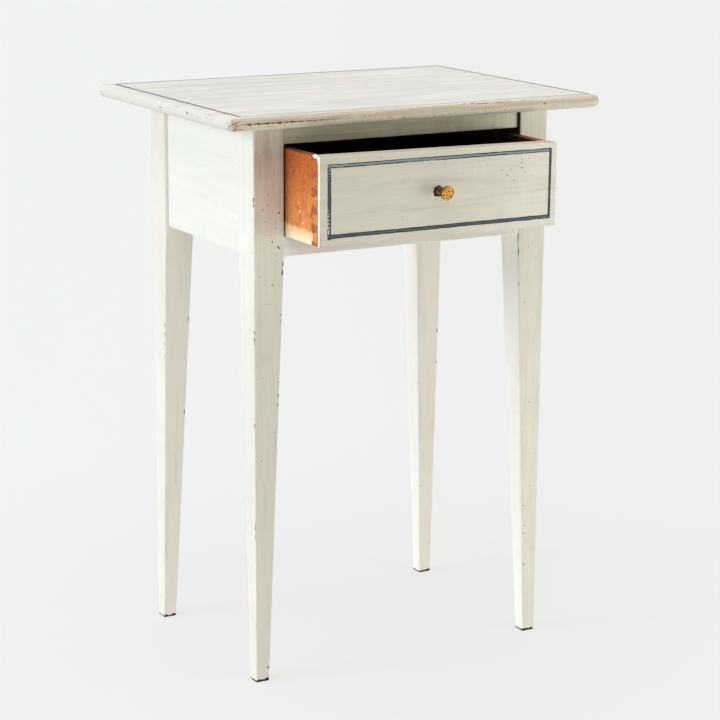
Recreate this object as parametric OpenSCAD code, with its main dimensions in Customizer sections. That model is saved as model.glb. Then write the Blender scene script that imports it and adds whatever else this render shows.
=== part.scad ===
// Small painted side table with one drawer, made the old way: tapered legs
// tenoned to aprons and rails, and a dovetailed drawer on wooden runners.
// Millimetres, +Z up, front towards -Y. The origin is on the floor, under the
// middle of the whole object with the drawer standing part way open.

/* [Frame] */
// Height from the floor to the top face
table_h = 750; // [650:5:850]
// Width over the outer faces of the legs
frame_w = 436.5; // [380:0.5:560]
// Depth over the outer faces of the legs
frame_d = 306; // [290:1:420]
// Height of the aprons, which is also the straight length of each leg
apron_h = 169; // [160:1:180]
// Thickness of the aprons
apron_t = 20; // [18:1:22]
// How far the aprons and the upper rail stand back from the legs' faces
apron_recess = 5; // [3:0.5:6]

/* [Tabletop] */
// Thickness of the top, whose edge is a half round
top_t = 17; // [14:1:24]
// Overhang past the legs on the left
over_left = 56; // [30:1:70]
// Overhang past the legs on the right
over_right = 49; // [30:1:70]
// Overhang past the legs in front
over_front = 48; // [30:1:70]
// Overhang past the legs behind
over_back = 51; // [30:1:70]

/* [Legs] */
// Width of the square leg beside the aprons
leg_w = 42; // [40:1:46]
// Width of the leg at the floor, after its two inner faces taper
foot_w = 18; // [14:1:30]

/* [Rails] */
// Height of the rail under the drawer
lower_rail_h = 26; // [22:1:30]
// Height of the rail over the drawer
upper_rail_h = 27; // [24:1:32]
// Depth of the rail over the drawer, front to back
upper_rail_d = 22; // [20:1:26]

/* [Drawer] */
// How far the drawer stands open at rest
drawer_open = 91; // [0:1:130]
// Length of the drawer over its front and back
drawer_l = 270; // [240:1:274]
// Width of the drawer
drawer_w = 348; // [300:1:348]
// Height of the drawer front at its left end
front_h_left = 112.5; // [107:0.5:113]
// Height of the drawer front at its right end, planed down to fit
front_h_right = 108.5; // [105:0.5:113]
// Thickness of the drawer front
front_t = 20; // [18:1:22]
// Thickness of the drawer's sides and back
side_t = 12; // [10:1:14]
// Thickness of the drawer bottom
bottom_t = 6; // [5:0.5:7]

/* [Knob] */
// Diameter of the knob's face
knob_d = 18.5; // [16:0.5:24]
// How far the knob stands out from the drawer front
knob_out = 22.5; // [17:0.5:26]
// Height of the knob above the drawer's bottom edge
knob_z = 58; // [50:1:62]
// How far right of the middle the knob is
knob_x = -4; // [-10:0.5:10]

/* [Hidden] */
$fn = 48;

// Cuts run this far past a face that they open.
past = 1;

// Where the frame stands, so that the whole object is centred on the origin.
frame_x = (over_left - over_right) / 2;
frame_y = (drawer_open + knob_out - over_back) / 2;
frame_top = table_h - top_t;
apron_z = frame_top - apron_h;
rail_z = apron_z + lower_rail_h;
upper_rail_z = frame_top - upper_rail_h;

// Tenons, in the corner frame: x and y run inwards from the leg's outer faces.
tenon_l = 22;
tenon_t = 8;
tenon_in = apron_recess + (apron_t - tenon_t) / 2;
apron_tenon_z = apron_z + 12;
apron_tenon_h = apron_h - 37;
lower_tenon_y = 14;
lower_tenon_d = 16;
rail_shoulder = 5;

// Pegs through the tenons.
peg_d = 7;
peg_l = 26;
peg_in = leg_w - 11;
peg_low_z = apron_z + 46;
peg_high_z = apron_z + 126;
rail_peg_d = 6;
rail_peg_z = apron_z + lower_rail_h / 2;

// Runners, guides and kickers, in the side frame: x runs inwards from the
// outer faces of the legs on that side, and y is zero at mid depth.
strip_x = apron_recess + apron_t;
strip_w = 43;
runner_h = 18;
guide_h = 24;
between_legs = frame_d - 2 * leg_w;
back_inner_y = frame_d / 2 - apron_recess - apron_t;
upper_rail_back_y = -frame_d / 2 + apron_recess + upper_rail_d;
tongue_l = 8;
tongue_h = 8;

// Small blocks, nails and screws.
block_w = 20;
block_l = 60;
stop_h = 6;
stop_w = 30;
stop_d = 15;
stop_x = 100;
stop_gap = 0.6;
stop_y = -frame_d / 2 + front_t + stop_gap;
nail_d = 3;
nail_l = 30;
stop_nail_l = 18;
screw_d = 4;
screw_head_d = 8;
screw_sink = 2;
screw_into_top = 10;
kicker_screw_y = [-70, 70];
guide_nail_y = [-85, 0, 85];

// The drawer, in its own frame: x is zero at mid width, y runs inwards from
// the front's face, and z is zero at its bottom edge.
drawer_gap = 0.4;
drawer_x = drawer_w / 2;
lap_t = 6;
bottom_z = 8;
groove_in = 5;
back_z = bottom_z + bottom_t;
back_h = 84;
side_drop = 1;
tail_n = 5;
tail_w = 11.5;
tail_slope = 1 / 6;
bottom_nail_d = 2;
bottom_nail_l = 22;

// The knob, turned about an axis that points out of the drawer front.
rosette_d = 16;
rosette_t = 1.4;
rim_t = 3;
neck_d = 8.5;
flare_d = 13;
flare_l = 8;
bolt_d = 4;
bolt_in_head = 9;
bolt_past_nut = 2;
nut_w = 9;
nut_t = 3;

// ---- Placing -------------------------------------------------------------

// Moves from the frame's own centre to the object's origin.
module in_frame() {
    translate([frame_x, frame_y, 0]) children();
}

// A corner of the frame: children are drawn with x and y running inwards from
// the outer faces of the leg. sx is -1 on the left, sy is -1 in front.
module corner(sx, sy) {
    in_frame()
        translate([sx * frame_w / 2, sy * frame_d / 2, 0])
            mirror([sx > 0 ? 1 : 0, 0, 0])
                mirror([0, sy > 0 ? 1 : 0, 0])
                    children();
}

// A side of the frame, with x running inwards from the legs' outer faces.
module side(sx) {
    in_frame()
        translate([sx * frame_w / 2, 0, 0])
            mirror([sx > 0 ? 1 : 0, 0, 0])
                children();
}

// The drawer at its rest place.
module in_drawer() {
    in_frame()
        translate([0, -frame_d / 2 - drawer_open, rail_z + drawer_gap])
            children();
}

// The knob's axis: children are drawn with z pointing out of the front.
module on_knob_axis() {
    in_drawer() translate([knob_x, 0, knob_z]) rotate([90, 0, 0]) children();
}

// ---- Tabletop ------------------------------------------------------------

// A board with half-round edges and ball corners.
module rounded_board(w, d, t) {
    r = t / 2;
    translate([r, r, 0]) cube([w - t, d - t, t]);
    for (y = [r, d - r])
        translate([r, y, r]) rotate([0, 90, 0]) cylinder(h = w - t, r = r);
    for (x = [r, w - r])
        translate([x, r, r]) rotate([-90, 0, 0]) cylinder(h = d - t, r = r);
    for (x = [r, w - r], y = [r, d - r])
        translate([x, y, r]) sphere(r = r);
}

module tabletop() {
    w = over_left + frame_w + over_right;
    d = over_front + frame_d + over_back;
    color("ivory")
        difference() {
            in_frame()
                translate([-frame_w / 2 - over_left, -frame_d / 2 - over_front, frame_top])
                    rounded_board(w, d, top_t);
            screw_holes();
        }
}

// ---- Legs ----------------------------------------------------------------

// Outline of a leg seen square on, with the inner edge tapering to the foot.
module leg_outline() {
    polygon([[0, 0], [foot_w, 0], [leg_w, apron_z], [leg_w, frame_top], [0, frame_top]]);
}

module leg_blank() {
    intersection() {
        translate([0, leg_w, 0]) rotate([90, 0, 0]) linear_extrude(leg_w) leg_outline();
        rotate([90, 0, 90]) linear_extrude(leg_w) leg_outline();
    }
}

// Tenons as the leg's corner sees them.
module side_apron_tenon() {
    translate([tenon_in, leg_w - tenon_l, apron_tenon_z])
        cube([tenon_t, tenon_l, apron_tenon_h]);
}

module back_apron_tenon() {
    translate([leg_w - tenon_l, tenon_in, apron_tenon_z])
        cube([tenon_l, tenon_t, apron_tenon_h]);
}

module lower_rail_tenon() {
    translate([leg_w - tenon_l, lower_tenon_y, apron_z + rail_shoulder])
        cube([tenon_l, lower_tenon_d, lower_rail_h - 2 * rail_shoulder]);
}

module upper_rail_tenon() {
    translate([leg_w - tenon_l, tenon_in, upper_rail_z + rail_shoulder])
        cube([tenon_l, tenon_t, upper_rail_h - 2 * rail_shoulder]);
}

// Pegs driven in from the side face and from the front or back face.
module side_pegs() {
    for (z = [peg_low_z, peg_high_z])
        translate([0, peg_in, z]) rotate([0, 90, 0]) cylinder(h = peg_l, d = peg_d);
}

module back_pegs() {
    for (z = [peg_low_z, peg_high_z])
        translate([peg_in, 0, z]) rotate([-90, 0, 0]) cylinder(h = peg_l, d = peg_d);
}

module rail_peg() {
    translate([peg_in, 0, rail_peg_z]) rotate([-90, 0, 0]) cylinder(h = peg_l, d = rail_peg_d);
}

module front_leg(sx) {
    color("antiquewhite")
        corner(sx, -1)
            difference() {
                leg_blank();
                side_apron_tenon();
                lower_rail_tenon();
                upper_rail_tenon();
                side_pegs();
                rail_peg();
            }
}

module back_leg(sx) {
    color("antiquewhite")
        corner(sx, 1)
            difference() {
                leg_blank();
                side_apron_tenon();
                back_apron_tenon();
                side_pegs();
                back_pegs();
            }
}

module tenon_pegs() {
    color("tan") {
        for (sx = [-1, 1]) {
            corner(sx, -1) {
                side_pegs();
                rail_peg();
            }
            corner(sx, 1) {
                side_pegs();
                back_pegs();
            }
        }
    }
}

// ---- Aprons and rails ----------------------------------------------------

module side_apron(sx) {
    color("linen")
        difference() {
            union() {
                side(sx)
                    translate([apron_recess, -between_legs / 2, apron_z])
                        cube([apron_t, between_legs, apron_h]);
                for (sy = [-1, 1]) corner(sx, sy) side_apron_tenon();
            }
            for (sy = [-1, 1]) corner(sx, sy) side_pegs();
        }
}

module back_apron() {
    w = frame_w - 2 * leg_w;
    color("linen")
        difference() {
            union() {
                in_frame()
                    translate([-w / 2, back_inner_y, apron_z])
                        cube([w, apron_t, apron_h]);
                for (sx = [-1, 1]) corner(sx, 1) back_apron_tenon();
            }
            for (sx = [-1, 1]) corner(sx, 1) back_pegs();
        }
}

module upper_front_rail() {
    w = frame_w - 2 * leg_w;
    color("linen") {
        in_frame()
            translate([-w / 2, -frame_d / 2 + apron_recess, upper_rail_z])
                cube([w, upper_rail_d, upper_rail_h]);
        for (sx = [-1, 1]) corner(sx, -1) upper_rail_tenon();
    }
}

module lower_front_rail() {
    w = frame_w - 2 * leg_w;
    color("linen")
        difference() {
            union() {
                in_frame()
                    translate([-w / 2, -frame_d / 2, apron_z])
                        cube([w, leg_w, lower_rail_h]);
                for (sx = [-1, 1]) corner(sx, -1) lower_rail_tenon();
            }
            for (sx = [-1, 1]) {
                corner(sx, -1) rail_peg();
                side(sx) runner_tongue();
            }
            stop_nails();
        }
}

// ---- What the drawer slides on -------------------------------------------

// A strip along the side apron. Past the legs' inner faces it runs on, from
// front_y to back_y.
module inner_strip(z, h, front_y, back_y) {
    translate([strip_x, -between_legs / 2, z])
        cube([leg_w - strip_x, between_legs, h]);
    translate([leg_w, front_y, z])
        cube([strip_x + strip_w - leg_w, back_y - front_y, h]);
}

module runner_tongue() {
    translate([leg_w, -between_legs / 2 - tongue_l, rail_z - runner_h + rail_shoulder])
        cube([strip_x + strip_w - leg_w, tongue_l, tongue_h]);
}

module drawer_runner(sx) {
    color("burlywood")
        difference() {
            side(sx)
                union() {
                    inner_strip(rail_z - runner_h, runner_h, -between_legs / 2, back_inner_y);
                    runner_tongue();
                }
            guide_nails(sx);
        }
}

module drawer_guide(sx) {
    color("tan")
        difference() {
            side(sx)
                translate([strip_x, -between_legs / 2, rail_z])
                    cube([leg_w - strip_x, between_legs, guide_h]);
            guide_nails(sx);
        }
}

module kicker(sx) {
    color("burlywood")
        difference() {
            side(sx)
                inner_strip(upper_rail_z, upper_rail_h, upper_rail_back_y, back_inner_y);
            screw_holes();
        }
}

// Nails down through a guide into its runner.
module guide_nails(sx) {
    side(sx)
        for (y = guide_nail_y)
            translate([(strip_x + leg_w) / 2, y, rail_z + guide_h - nail_l])
                cylinder(h = nail_l, d = nail_d);
}

// Nails down through the stops into the lower rail.
module stop_nails() {
    in_frame()
        for (x = [-stop_x, stop_x], dx = [-stop_w / 4, stop_w / 4])
            translate([x + dx, stop_y + stop_d / 2, rail_z + stop_h - stop_nail_l])
                cylinder(h = stop_nail_l, d = nail_d);
}

module frame_nails() {
    color("dimgray") {
        for (sx = [-1, 1]) guide_nails(sx);
        stop_nails();
    }
}

module drawer_stops() {
    color("peru")
        difference() {
            in_frame()
                for (x = [-stop_x, stop_x])
                    translate([x - stop_w / 2, stop_y, rail_z])
                        cube([stop_w, stop_d, stop_h]);
            stop_nails();
        }
}

// ---- What holds the top --------------------------------------------------

// A wood screw standing head down, its head flush at z = 0.
module wood_screw(l) {
    sink = (screw_head_d - screw_d) / 2;
    cylinder(h = sink, d1 = screw_head_d, d2 = screw_d);
    cylinder(h = l, d = screw_d);
}

// Calls its children at each screw's place in the kickers.
module at_top_screws() {
    for (sx = [-1, 1])
        side(sx)
            for (y = kicker_screw_y)
                translate([(leg_w + strip_x + strip_w) / 2, y, upper_rail_z])
                    children();
}

module top_screws() {
    color("darkgray")
        at_top_screws()
            translate([0, 0, screw_sink])
                wood_screw(upper_rail_h - screw_sink + screw_into_top);
}

module screw_holes() {
    at_top_screws() {
        translate([0, 0, screw_sink])
            wood_screw(upper_rail_h - screw_sink + screw_into_top);
        translate([0, 0, -past])
            cylinder(h = screw_sink + past, d = screw_head_d);
    }
}

module top_glue_blocks() {
    z = frame_top - block_w;
    color("wheat")
        in_frame() {
            for (x = [-110, 0, 110])
                translate([x - block_l / 2, back_inner_y - block_w, z])
                    cube([block_l, block_w, block_w]);
            for (x = [-80, 80])
                translate([x - block_l / 2, upper_rail_back_y, z])
                    cube([block_l, block_w, block_w]);
        }
}

// ---- Drawer --------------------------------------------------------------

// Dovetail tails on a drawer side, x from zero to the side's thickness. They
// point to -y from y = 0, are l long, and share the height from z0 to z1.
module tails(l, z0, z1) {
    pitch = (z1 - z0) / tail_n;
    root = tail_w / 2 - l * tail_slope / 2;
    tip = tail_w / 2 + l * tail_slope / 2;
    for (i = [0 : tail_n - 1])
        translate([0, 0, z0 + (i + 0.5) * pitch])
            rotate([90, 0, 90])
                linear_extrude(side_t)
                    polygon([[0, -root], [-l, -tip], [-l, tip], [0, root]]);
}

// A drawer side's place: x runs inwards from the drawer's outer face.
module drawer_edge(sx) {
    translate([sx * drawer_x, 0, 0]) mirror([sx > 0 ? 1 : 0, 0, 0]) children();
}

function edge_h(sx) = (sx < 0 ? front_h_left : front_h_right) - side_drop;

// The tails into the drawer front, and those into the back.
module front_tails(sx) {
    drawer_edge(sx) translate([0, front_t, 0]) tails(front_t - lap_t, 0, edge_h(sx));
}

module back_tails(sx) {
    drawer_edge(sx)
        translate([0, drawer_l - side_t, 0])
            mirror([0, 1, 0])
                tails(side_t, back_z, back_z + back_h);
}

// The pins at each end of the back: what its corner keeps between the tails.
module back_pins(sx) {
    difference() {
        drawer_edge(sx)
            translate([0, drawer_l - side_t, back_z])
                cube([side_t, side_t, back_h]);
        back_tails(sx);
    }
}

module bottom_panel() {
    w = drawer_w - 2 * (side_t - groove_in);
    translate([-w / 2, front_t - groove_in, bottom_z])
        cube([w, drawer_l - front_t + groove_in, bottom_t]);
}

module bottom_nails() {
    for (x = [-110, 0, 110])
        translate([x, drawer_l - side_t / 2, bottom_z])
            cylinder(h = bottom_nail_l, d = bottom_nail_d);
}

module drawer_front() {
    color("antiquewhite")
        difference() {
            in_drawer()
                difference() {
                    translate([0, front_t, 0])
                        rotate([90, 0, 0])
                            linear_extrude(front_t)
                                polygon([
                                    [-drawer_x, 0], [drawer_x, 0],
                                    [drawer_x, front_h_right], [-drawer_x, front_h_left]
                                ]);
                    for (sx = [-1, 1]) front_tails(sx);
                    bottom_panel();
                }
            on_knob_axis() translate([0, 0, -front_t - past])
                cylinder(h = front_t + 2 * past, d = bolt_d);
        }
}

module drawer_side(sx) {
    color("sienna")
        in_drawer() {
            difference() {
                union() {
                    drawer_edge(sx)
                        translate([0, front_t, 0])
                            cube([side_t, drawer_l - front_t, edge_h(sx)]);
                    front_tails(sx);
                }
                back_pins(sx);
                bottom_panel();
            }
        }
}

module drawer_back() {
    w = drawer_w - 2 * side_t;
    color("sienna")
        in_drawer()
            difference() {
                union() {
                    translate([-w / 2, drawer_l - side_t, back_z])
                        cube([w, side_t, back_h]);
                    for (sx = [-1, 1]) back_pins(sx);
                }
                bottom_nails();
            }
}

module drawer_bottom() {
    color("chocolate")
        in_drawer()
            difference() {
                bottom_panel();
                bottom_nails();
            }
}

module drawer_bottom_nails() {
    color("dimgray") in_drawer() bottom_nails();
}

// ---- Knob ----------------------------------------------------------------

// Half outline of the knob: a neck, a hollow flare and a flat face with a
// rounded rim.
module knob_profile() {
    face = knob_out;
    rim = rim_t / 2;
    flare_z = face - rim_t - flare_l;
    hollow = [for (a = [0 : 15 : 90])
        [flare_d / 2 - (flare_d - neck_d) / 2 * cos(a), flare_z + flare_l * sin(a)]];
    edge = [for (a = [-90 : 15 : 90])
        [knob_d / 2 - rim + rim * cos(a), face - rim + rim * sin(a)]];
    polygon(concat([[0, rosette_t], [neck_d / 2, rosette_t]], hollow, edge, [[0, face]]));
}

module knob_head() {
    color("goldenrod")
        on_knob_axis()
            difference() {
                rotate_extrude() knob_profile();
                translate([0, 0, rosette_t - past])
                    cylinder(h = bolt_in_head + past, d = bolt_d);
            }
}

module knob_rosette() {
    color("saddlebrown")
        on_knob_axis()
            difference() {
                cylinder(h = rosette_t, d = rosette_d);
                translate([0, 0, -past])
                    cylinder(h = rosette_t + 2 * past, d = bolt_d);
            }
}

module knob_bolt() {
    tail = front_t + nut_t + bolt_past_nut;
    color("gray")
        on_knob_axis()
            translate([0, 0, -tail])
                cylinder(h = tail + rosette_t + bolt_in_head, d = bolt_d);
}

module knob_nut() {
    color("gray")
        on_knob_axis()
            translate([0, 0, -front_t - nut_t])
                difference() {
                    translate([-nut_w / 2, -nut_w / 2, 0]) cube([nut_w, nut_w, nut_t]);
                    translate([0, 0, -past]) cylinder(h = nut_t + 2 * past, d = bolt_d);
                }
}

// ---- Drawing -------------------------------------------------------------

tabletop();
front_leg(-1);  // leg_front_left
front_leg(1);  // leg_front_right
back_leg(-1);  // leg_back_left
back_leg(1);  // leg_back_right
side_apron(-1);  // side_apron_left
side_apron(1);  // side_apron_right
back_apron();
upper_front_rail();
lower_front_rail();
tenon_pegs();
drawer_runner(-1);  // drawer_runner_left
drawer_runner(1);  // drawer_runner_right
drawer_guide(-1);  // drawer_guide_left
drawer_guide(1);  // drawer_guide_right
kicker(-1);  // kicker_left
kicker(1);  // kicker_right
drawer_stops();
top_glue_blocks();
top_screws();
frame_nails();
drawer_front();
drawer_side(-1);  // drawer_side_left
drawer_side(1);  // drawer_side_right
drawer_back();
drawer_bottom();
drawer_bottom_nails();
knob_head();
knob_rosette();
knob_bolt();
knob_nut();
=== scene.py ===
"""An old painted side table with one drawer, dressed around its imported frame.

All lengths are metres, in the frame's own axes: +Z up, the front towards -Y.
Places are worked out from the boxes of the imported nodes.
"""

from __future__ import annotations

import logging
import math
from dataclasses import dataclass, field
from enum import Enum
from typing import Callable, Iterable, Sequence, Union

import bmesh
import bpy
import numpy as np
from mathutils import Euler, Matrix, Vector, noise

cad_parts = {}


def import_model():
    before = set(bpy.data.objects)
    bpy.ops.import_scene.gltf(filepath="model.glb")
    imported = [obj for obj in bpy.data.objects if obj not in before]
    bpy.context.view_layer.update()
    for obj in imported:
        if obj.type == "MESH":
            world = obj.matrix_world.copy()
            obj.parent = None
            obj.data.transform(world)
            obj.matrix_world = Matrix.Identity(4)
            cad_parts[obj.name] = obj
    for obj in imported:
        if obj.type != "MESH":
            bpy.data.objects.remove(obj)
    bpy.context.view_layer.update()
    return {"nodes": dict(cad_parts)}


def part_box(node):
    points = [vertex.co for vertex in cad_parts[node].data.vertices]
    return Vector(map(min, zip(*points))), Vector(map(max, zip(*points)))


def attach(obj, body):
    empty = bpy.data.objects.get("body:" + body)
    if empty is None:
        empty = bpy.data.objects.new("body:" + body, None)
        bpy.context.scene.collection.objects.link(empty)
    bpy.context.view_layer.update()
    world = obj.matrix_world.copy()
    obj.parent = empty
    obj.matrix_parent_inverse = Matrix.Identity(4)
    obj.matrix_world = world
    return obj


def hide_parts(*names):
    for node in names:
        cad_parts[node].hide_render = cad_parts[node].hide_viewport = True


logging.basicConfig(level=logging.INFO, format="%(name)s: %(message)s")
log = logging.getLogger("side_table")

MM = 0.001
WELD = 1e-6
JOINT_EASE = 0.25 * MM
SHARP = math.radians(35)
Colour = tuple[float, float, float, float]


def tint(code: str) -> Colour:
    """Turns a display colour into scene-linear light.

    Args:
        code: Six hexadecimal digits, red first.

    Returns:
        Linear red, green and blue with full alpha.
    """
    shares = [int(code[i : i + 2], 16) / 255 for i in (0, 2, 4)]
    linear = [s / 12.92 if s <= 0.04045 else ((s + 0.055) / 1.055) ** 2.4 for s in shares]
    return (*linear, 1.0)


# ---------------------------------------------------------------------------
# Node graphs written as expressions
# ---------------------------------------------------------------------------


class Signal:
    """A node socket that Python's operators extend with maths nodes."""

    def __init__(self, graph: "Graph", socket: bpy.types.NodeSocket) -> None:
        """Wraps one output socket of a graph's node."""
        self.graph = graph
        self.socket = socket

    def __add__(self, other: "Feed") -> "Signal":
        """Adds."""
        return self.graph.math("ADD", self, other)

    __radd__ = __add__

    def __mul__(self, other: "Feed") -> "Signal":
        """Multiplies."""
        return self.graph.math("MULTIPLY", self, other)

    __rmul__ = __mul__

    def __sub__(self, other: "Feed") -> "Signal":
        """Subtracts."""
        return self.graph.math("SUBTRACT", self, other)

    def __rsub__(self, other: "Feed") -> "Signal":
        """Subtracts this from a number."""
        return self.graph.math("SUBTRACT", other, self)

    def __truediv__(self, other: "Feed") -> "Signal":
        """Divides."""
        return self.graph.math("DIVIDE", self, other)

    def least(self, other: "Feed") -> "Signal":
        """The smaller of the two."""
        return self.graph.math("MINIMUM", self, other)

    def most(self, other: "Feed") -> "Signal":
        """The larger of the two."""
        return self.graph.math("MAXIMUM", self, other)

    def size(self) -> "Signal":
        """The value without its sign."""
        return self.graph.math("ABSOLUTE", self)

    def sign(self) -> "Signal":
        """1 where the value is above zero, and -1 where it is below."""
        return self.graph.math("SIGN", self)

    def held(self) -> "Signal":
        """The value held between 0 and 1."""
        return self.most(0.0).least(1.0)

    def rise(self, start: "Feed", end: "Feed") -> "Signal":
        """Goes smoothly from 0 at start to 1 at end."""
        return self.graph.rise(self, start, end)

    def fall(self, start: "Feed", end: "Feed") -> "Signal":
        """Goes smoothly from 1 at start to 0 at end."""
        return 1.0 - self.graph.rise(self, start, end)

    def xyz(self) -> tuple["Signal", "Signal", "Signal"]:
        """The three parts of a vector."""
        node = self.graph.node("ShaderNodeSeparateXYZ", {}, {0: self})
        return tuple(Signal(self.graph, socket) for socket in node.outputs)


Feed = Union[Signal, int, float, str, Sequence[float], bpy.types.ID]


class Graph:
    """Builds one node tree, for a material or for geometry."""

    def __init__(self, tree: bpy.types.NodeTree) -> None:
        """Starts on a tree, whose nodes are all added through node()."""
        self.tree = tree

    def node(self, kind: str, settings: dict | None = None, feeds: dict | None = None) -> bpy.types.Node:
        """Adds a node.

        Args:
            kind: The node's type name.
            settings: Its own properties, which are set first.
            feeds: Values or signals for its sockets, by name or number.

        Returns:
            The new node.
        """
        node = self.tree.nodes.new(kind)
        for name, value in (settings or {}).items():
            setattr(node, name, value)
        for key, value in (feeds or {}).items():
            self._feed(node.inputs[key], value)
        return node

    def out(self, kind: str, settings: dict | None = None, feeds: dict | None = None,
            output: int | str = 0) -> Signal:
        """Adds a node and returns one of its outputs."""
        return Signal(self, self.node(kind, settings, feeds).outputs[output])

    def _feed(self, socket: bpy.types.NodeSocket, value: Feed) -> None:
        """Links a signal to a socket, or sets the socket's own value."""
        if isinstance(value, Signal):
            self.tree.links.new(value.socket, socket)
        elif isinstance(value, (int, float)) and hasattr(socket.default_value, "__len__"):
            socket.default_value = [value] * len(socket.default_value)
        else:
            socket.default_value = value

    def math(self, operation: str, *values: Feed) -> Signal:
        """Adds a Math node, or a Vector Math node if any value is a vector."""
        vector = any(
            v.socket.type == "VECTOR" if isinstance(v, Signal) else isinstance(v, (tuple, list, Vector))
            for v in values
        )
        kind = "ShaderNodeVectorMath" if vector else "ShaderNodeMath"
        return self.out(kind, {"operation": operation}, dict(enumerate(values)))

    def rise(self, value: Feed, start: Feed, end: Feed) -> Signal:
        """A smooth step from 0 at start to 1 at end."""
        feeds = {"Value": value, "From Min": start, "From Max": end, "To Min": 0.0, "To Max": 1.0}
        return self.out("ShaderNodeMapRange", {"interpolation_type": "SMOOTHSTEP"}, feeds)

    def vector(self, x: Feed, y: Feed, z: Feed) -> Signal:
        """Joins three numbers into a vector."""
        return self.out("ShaderNodeCombineXYZ", {}, {0: x, 1: y, 2: z})

    def length(self, value: Feed) -> Signal:
        """The length of a vector."""
        return self.out("ShaderNodeVectorMath", {"operation": "LENGTH"}, {0: value}, "Value")

    def noise(self, place: Signal, scale: float = 1.0, detail: float = 2.0, rough: float = 0.5,
              seed: Feed = 0.0) -> Signal:
        """Smooth random values from 0 to 1, mostly near the middle."""
        feeds = {"Vector": place, "W": seed, "Scale": scale, "Detail": detail, "Roughness": rough}
        return self.out("ShaderNodeTexNoise", {"noise_dimensions": "4D"}, feeds)

    def mix(self, share: Feed, first: Feed, second: Feed) -> Signal:
        """A colour that goes from first to second as share goes from 0 to 1."""
        feeds = {0: share, 6: first, 7: second}
        return self.out("ShaderNodeMix", {"data_type": "RGBA"}, feeds, 2)


class ShapeGraph(Graph):
    """A Geometry Nodes tree with named inputs."""

    def __init__(self, name: str) -> None:
        """Starts an empty tree with one geometry output."""
        super().__init__(bpy.data.node_groups.new(name, "GeometryNodeTree"))
        self.tree.interface.new_socket("Geometry", in_out="OUTPUT", socket_type="NodeSocketGeometry")
        self.entry = self.tree.nodes.new("NodeGroupInput")

    def input(self, name: str, kind: str, default: Feed | None = None) -> Signal:
        """Adds a named input.

        Args:
            name: What the input is called on the modifier.
            kind: Float, Int, Vector, Material or Geometry.
            default: Its value where none is given.

        Returns:
            The input's signal inside the tree.
        """
        item = self.tree.interface.new_socket(name, in_out="INPUT", socket_type="NodeSocket" + kind)
        if default is not None:
            item.default_value = default
        return Signal(self, self.entry.outputs[name])

    def position(self) -> Signal:
        """Where each point is."""
        return self.out("GeometryNodeInputPosition")

    def store(self, geometry: Signal, name: str, value: Signal) -> Signal:
        """Keeps a number on each point, for the finishes to read."""
        feeds = {"Geometry": geometry, "Name": name, "Value": value}
        return self.out("GeometryNodeStoreNamedAttribute", {"data_type": "FLOAT"}, feeds)

    def move(self, geometry: Signal, position: Signal | None = None, offset: Signal | None = None) -> Signal:
        """Moves each point to a position, or by an offset."""
        feeds = {"Geometry": geometry}
        if position is not None:
            feeds["Position"] = position
        if offset is not None:
            feeds["Offset"] = offset
        return self.out("GeometryNodeSetPosition", {}, feeds)

    def end(self, geometry: Signal, material: Signal) -> bpy.types.NodeTree:
        """Realizes, smooths and dresses the geometry, and ends the tree."""
        geometry = self.out("GeometryNodeRealizeInstances", {}, {"Geometry": geometry})
        geometry = self.out("GeometryNodeSetShadeSmooth", {}, {"Geometry": geometry, "Shade Smooth": True})
        geometry = self.out("GeometryNodeSetMaterial", {}, {"Geometry": geometry, "Material": material})
        self.node("NodeGroupOutput", {}, {"Geometry": geometry})
        return self.tree


def grow(name: str, tree: bpy.types.NodeTree, inputs: dict,
         seed_mesh: bpy.types.Mesh | None = None) -> bpy.types.Object:
    """Runs a Geometry Nodes tree and keeps its result as a plain mesh.

    Args:
        name: The new piece's name.
        tree: The tree to run.
        inputs: Values for its named inputs.
        seed_mesh: The mesh that the tree starts from, if it needs one.

    Returns:
        An object at the origin, with no modifiers.
    """
    piece = bpy.data.objects.new(name, seed_mesh or bpy.data.meshes.new(name))
    bpy.context.scene.collection.objects.link(piece)
    modifier = piece.modifiers.new(tree.name, "NODES")
    modifier.node_group = tree
    for item in tree.interface.items_tree:
        if item.in_out == "INPUT" and item.name in inputs:
            modifier[item.identifier] = inputs[item.name]
    depsgraph = bpy.context.evaluated_depsgraph_get()
    mesh = bpy.data.meshes.new_from_object(
        piece.evaluated_get(depsgraph), preserve_all_data_layers=True, depsgraph=depsgraph
    )
    piece.modifiers.remove(modifier)
    piece.data = mesh
    mesh.name = name
    return piece


def settle(piece: bpy.types.Object, body: str, slot: str, *nodes: str) -> bpy.types.Object:
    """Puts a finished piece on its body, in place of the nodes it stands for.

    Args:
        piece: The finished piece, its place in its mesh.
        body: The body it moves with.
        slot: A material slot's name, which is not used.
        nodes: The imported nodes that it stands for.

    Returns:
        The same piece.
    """
    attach(piece, body)
    if nodes:
        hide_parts(*nodes)
    log.info("%s: %d faces on %s", piece.name, len(piece.data.polygons), body)
    return piece


# ---------------------------------------------------------------------------
# Geometry Nodes trees
# ---------------------------------------------------------------------------

ROUND_ROWS = 4


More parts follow.
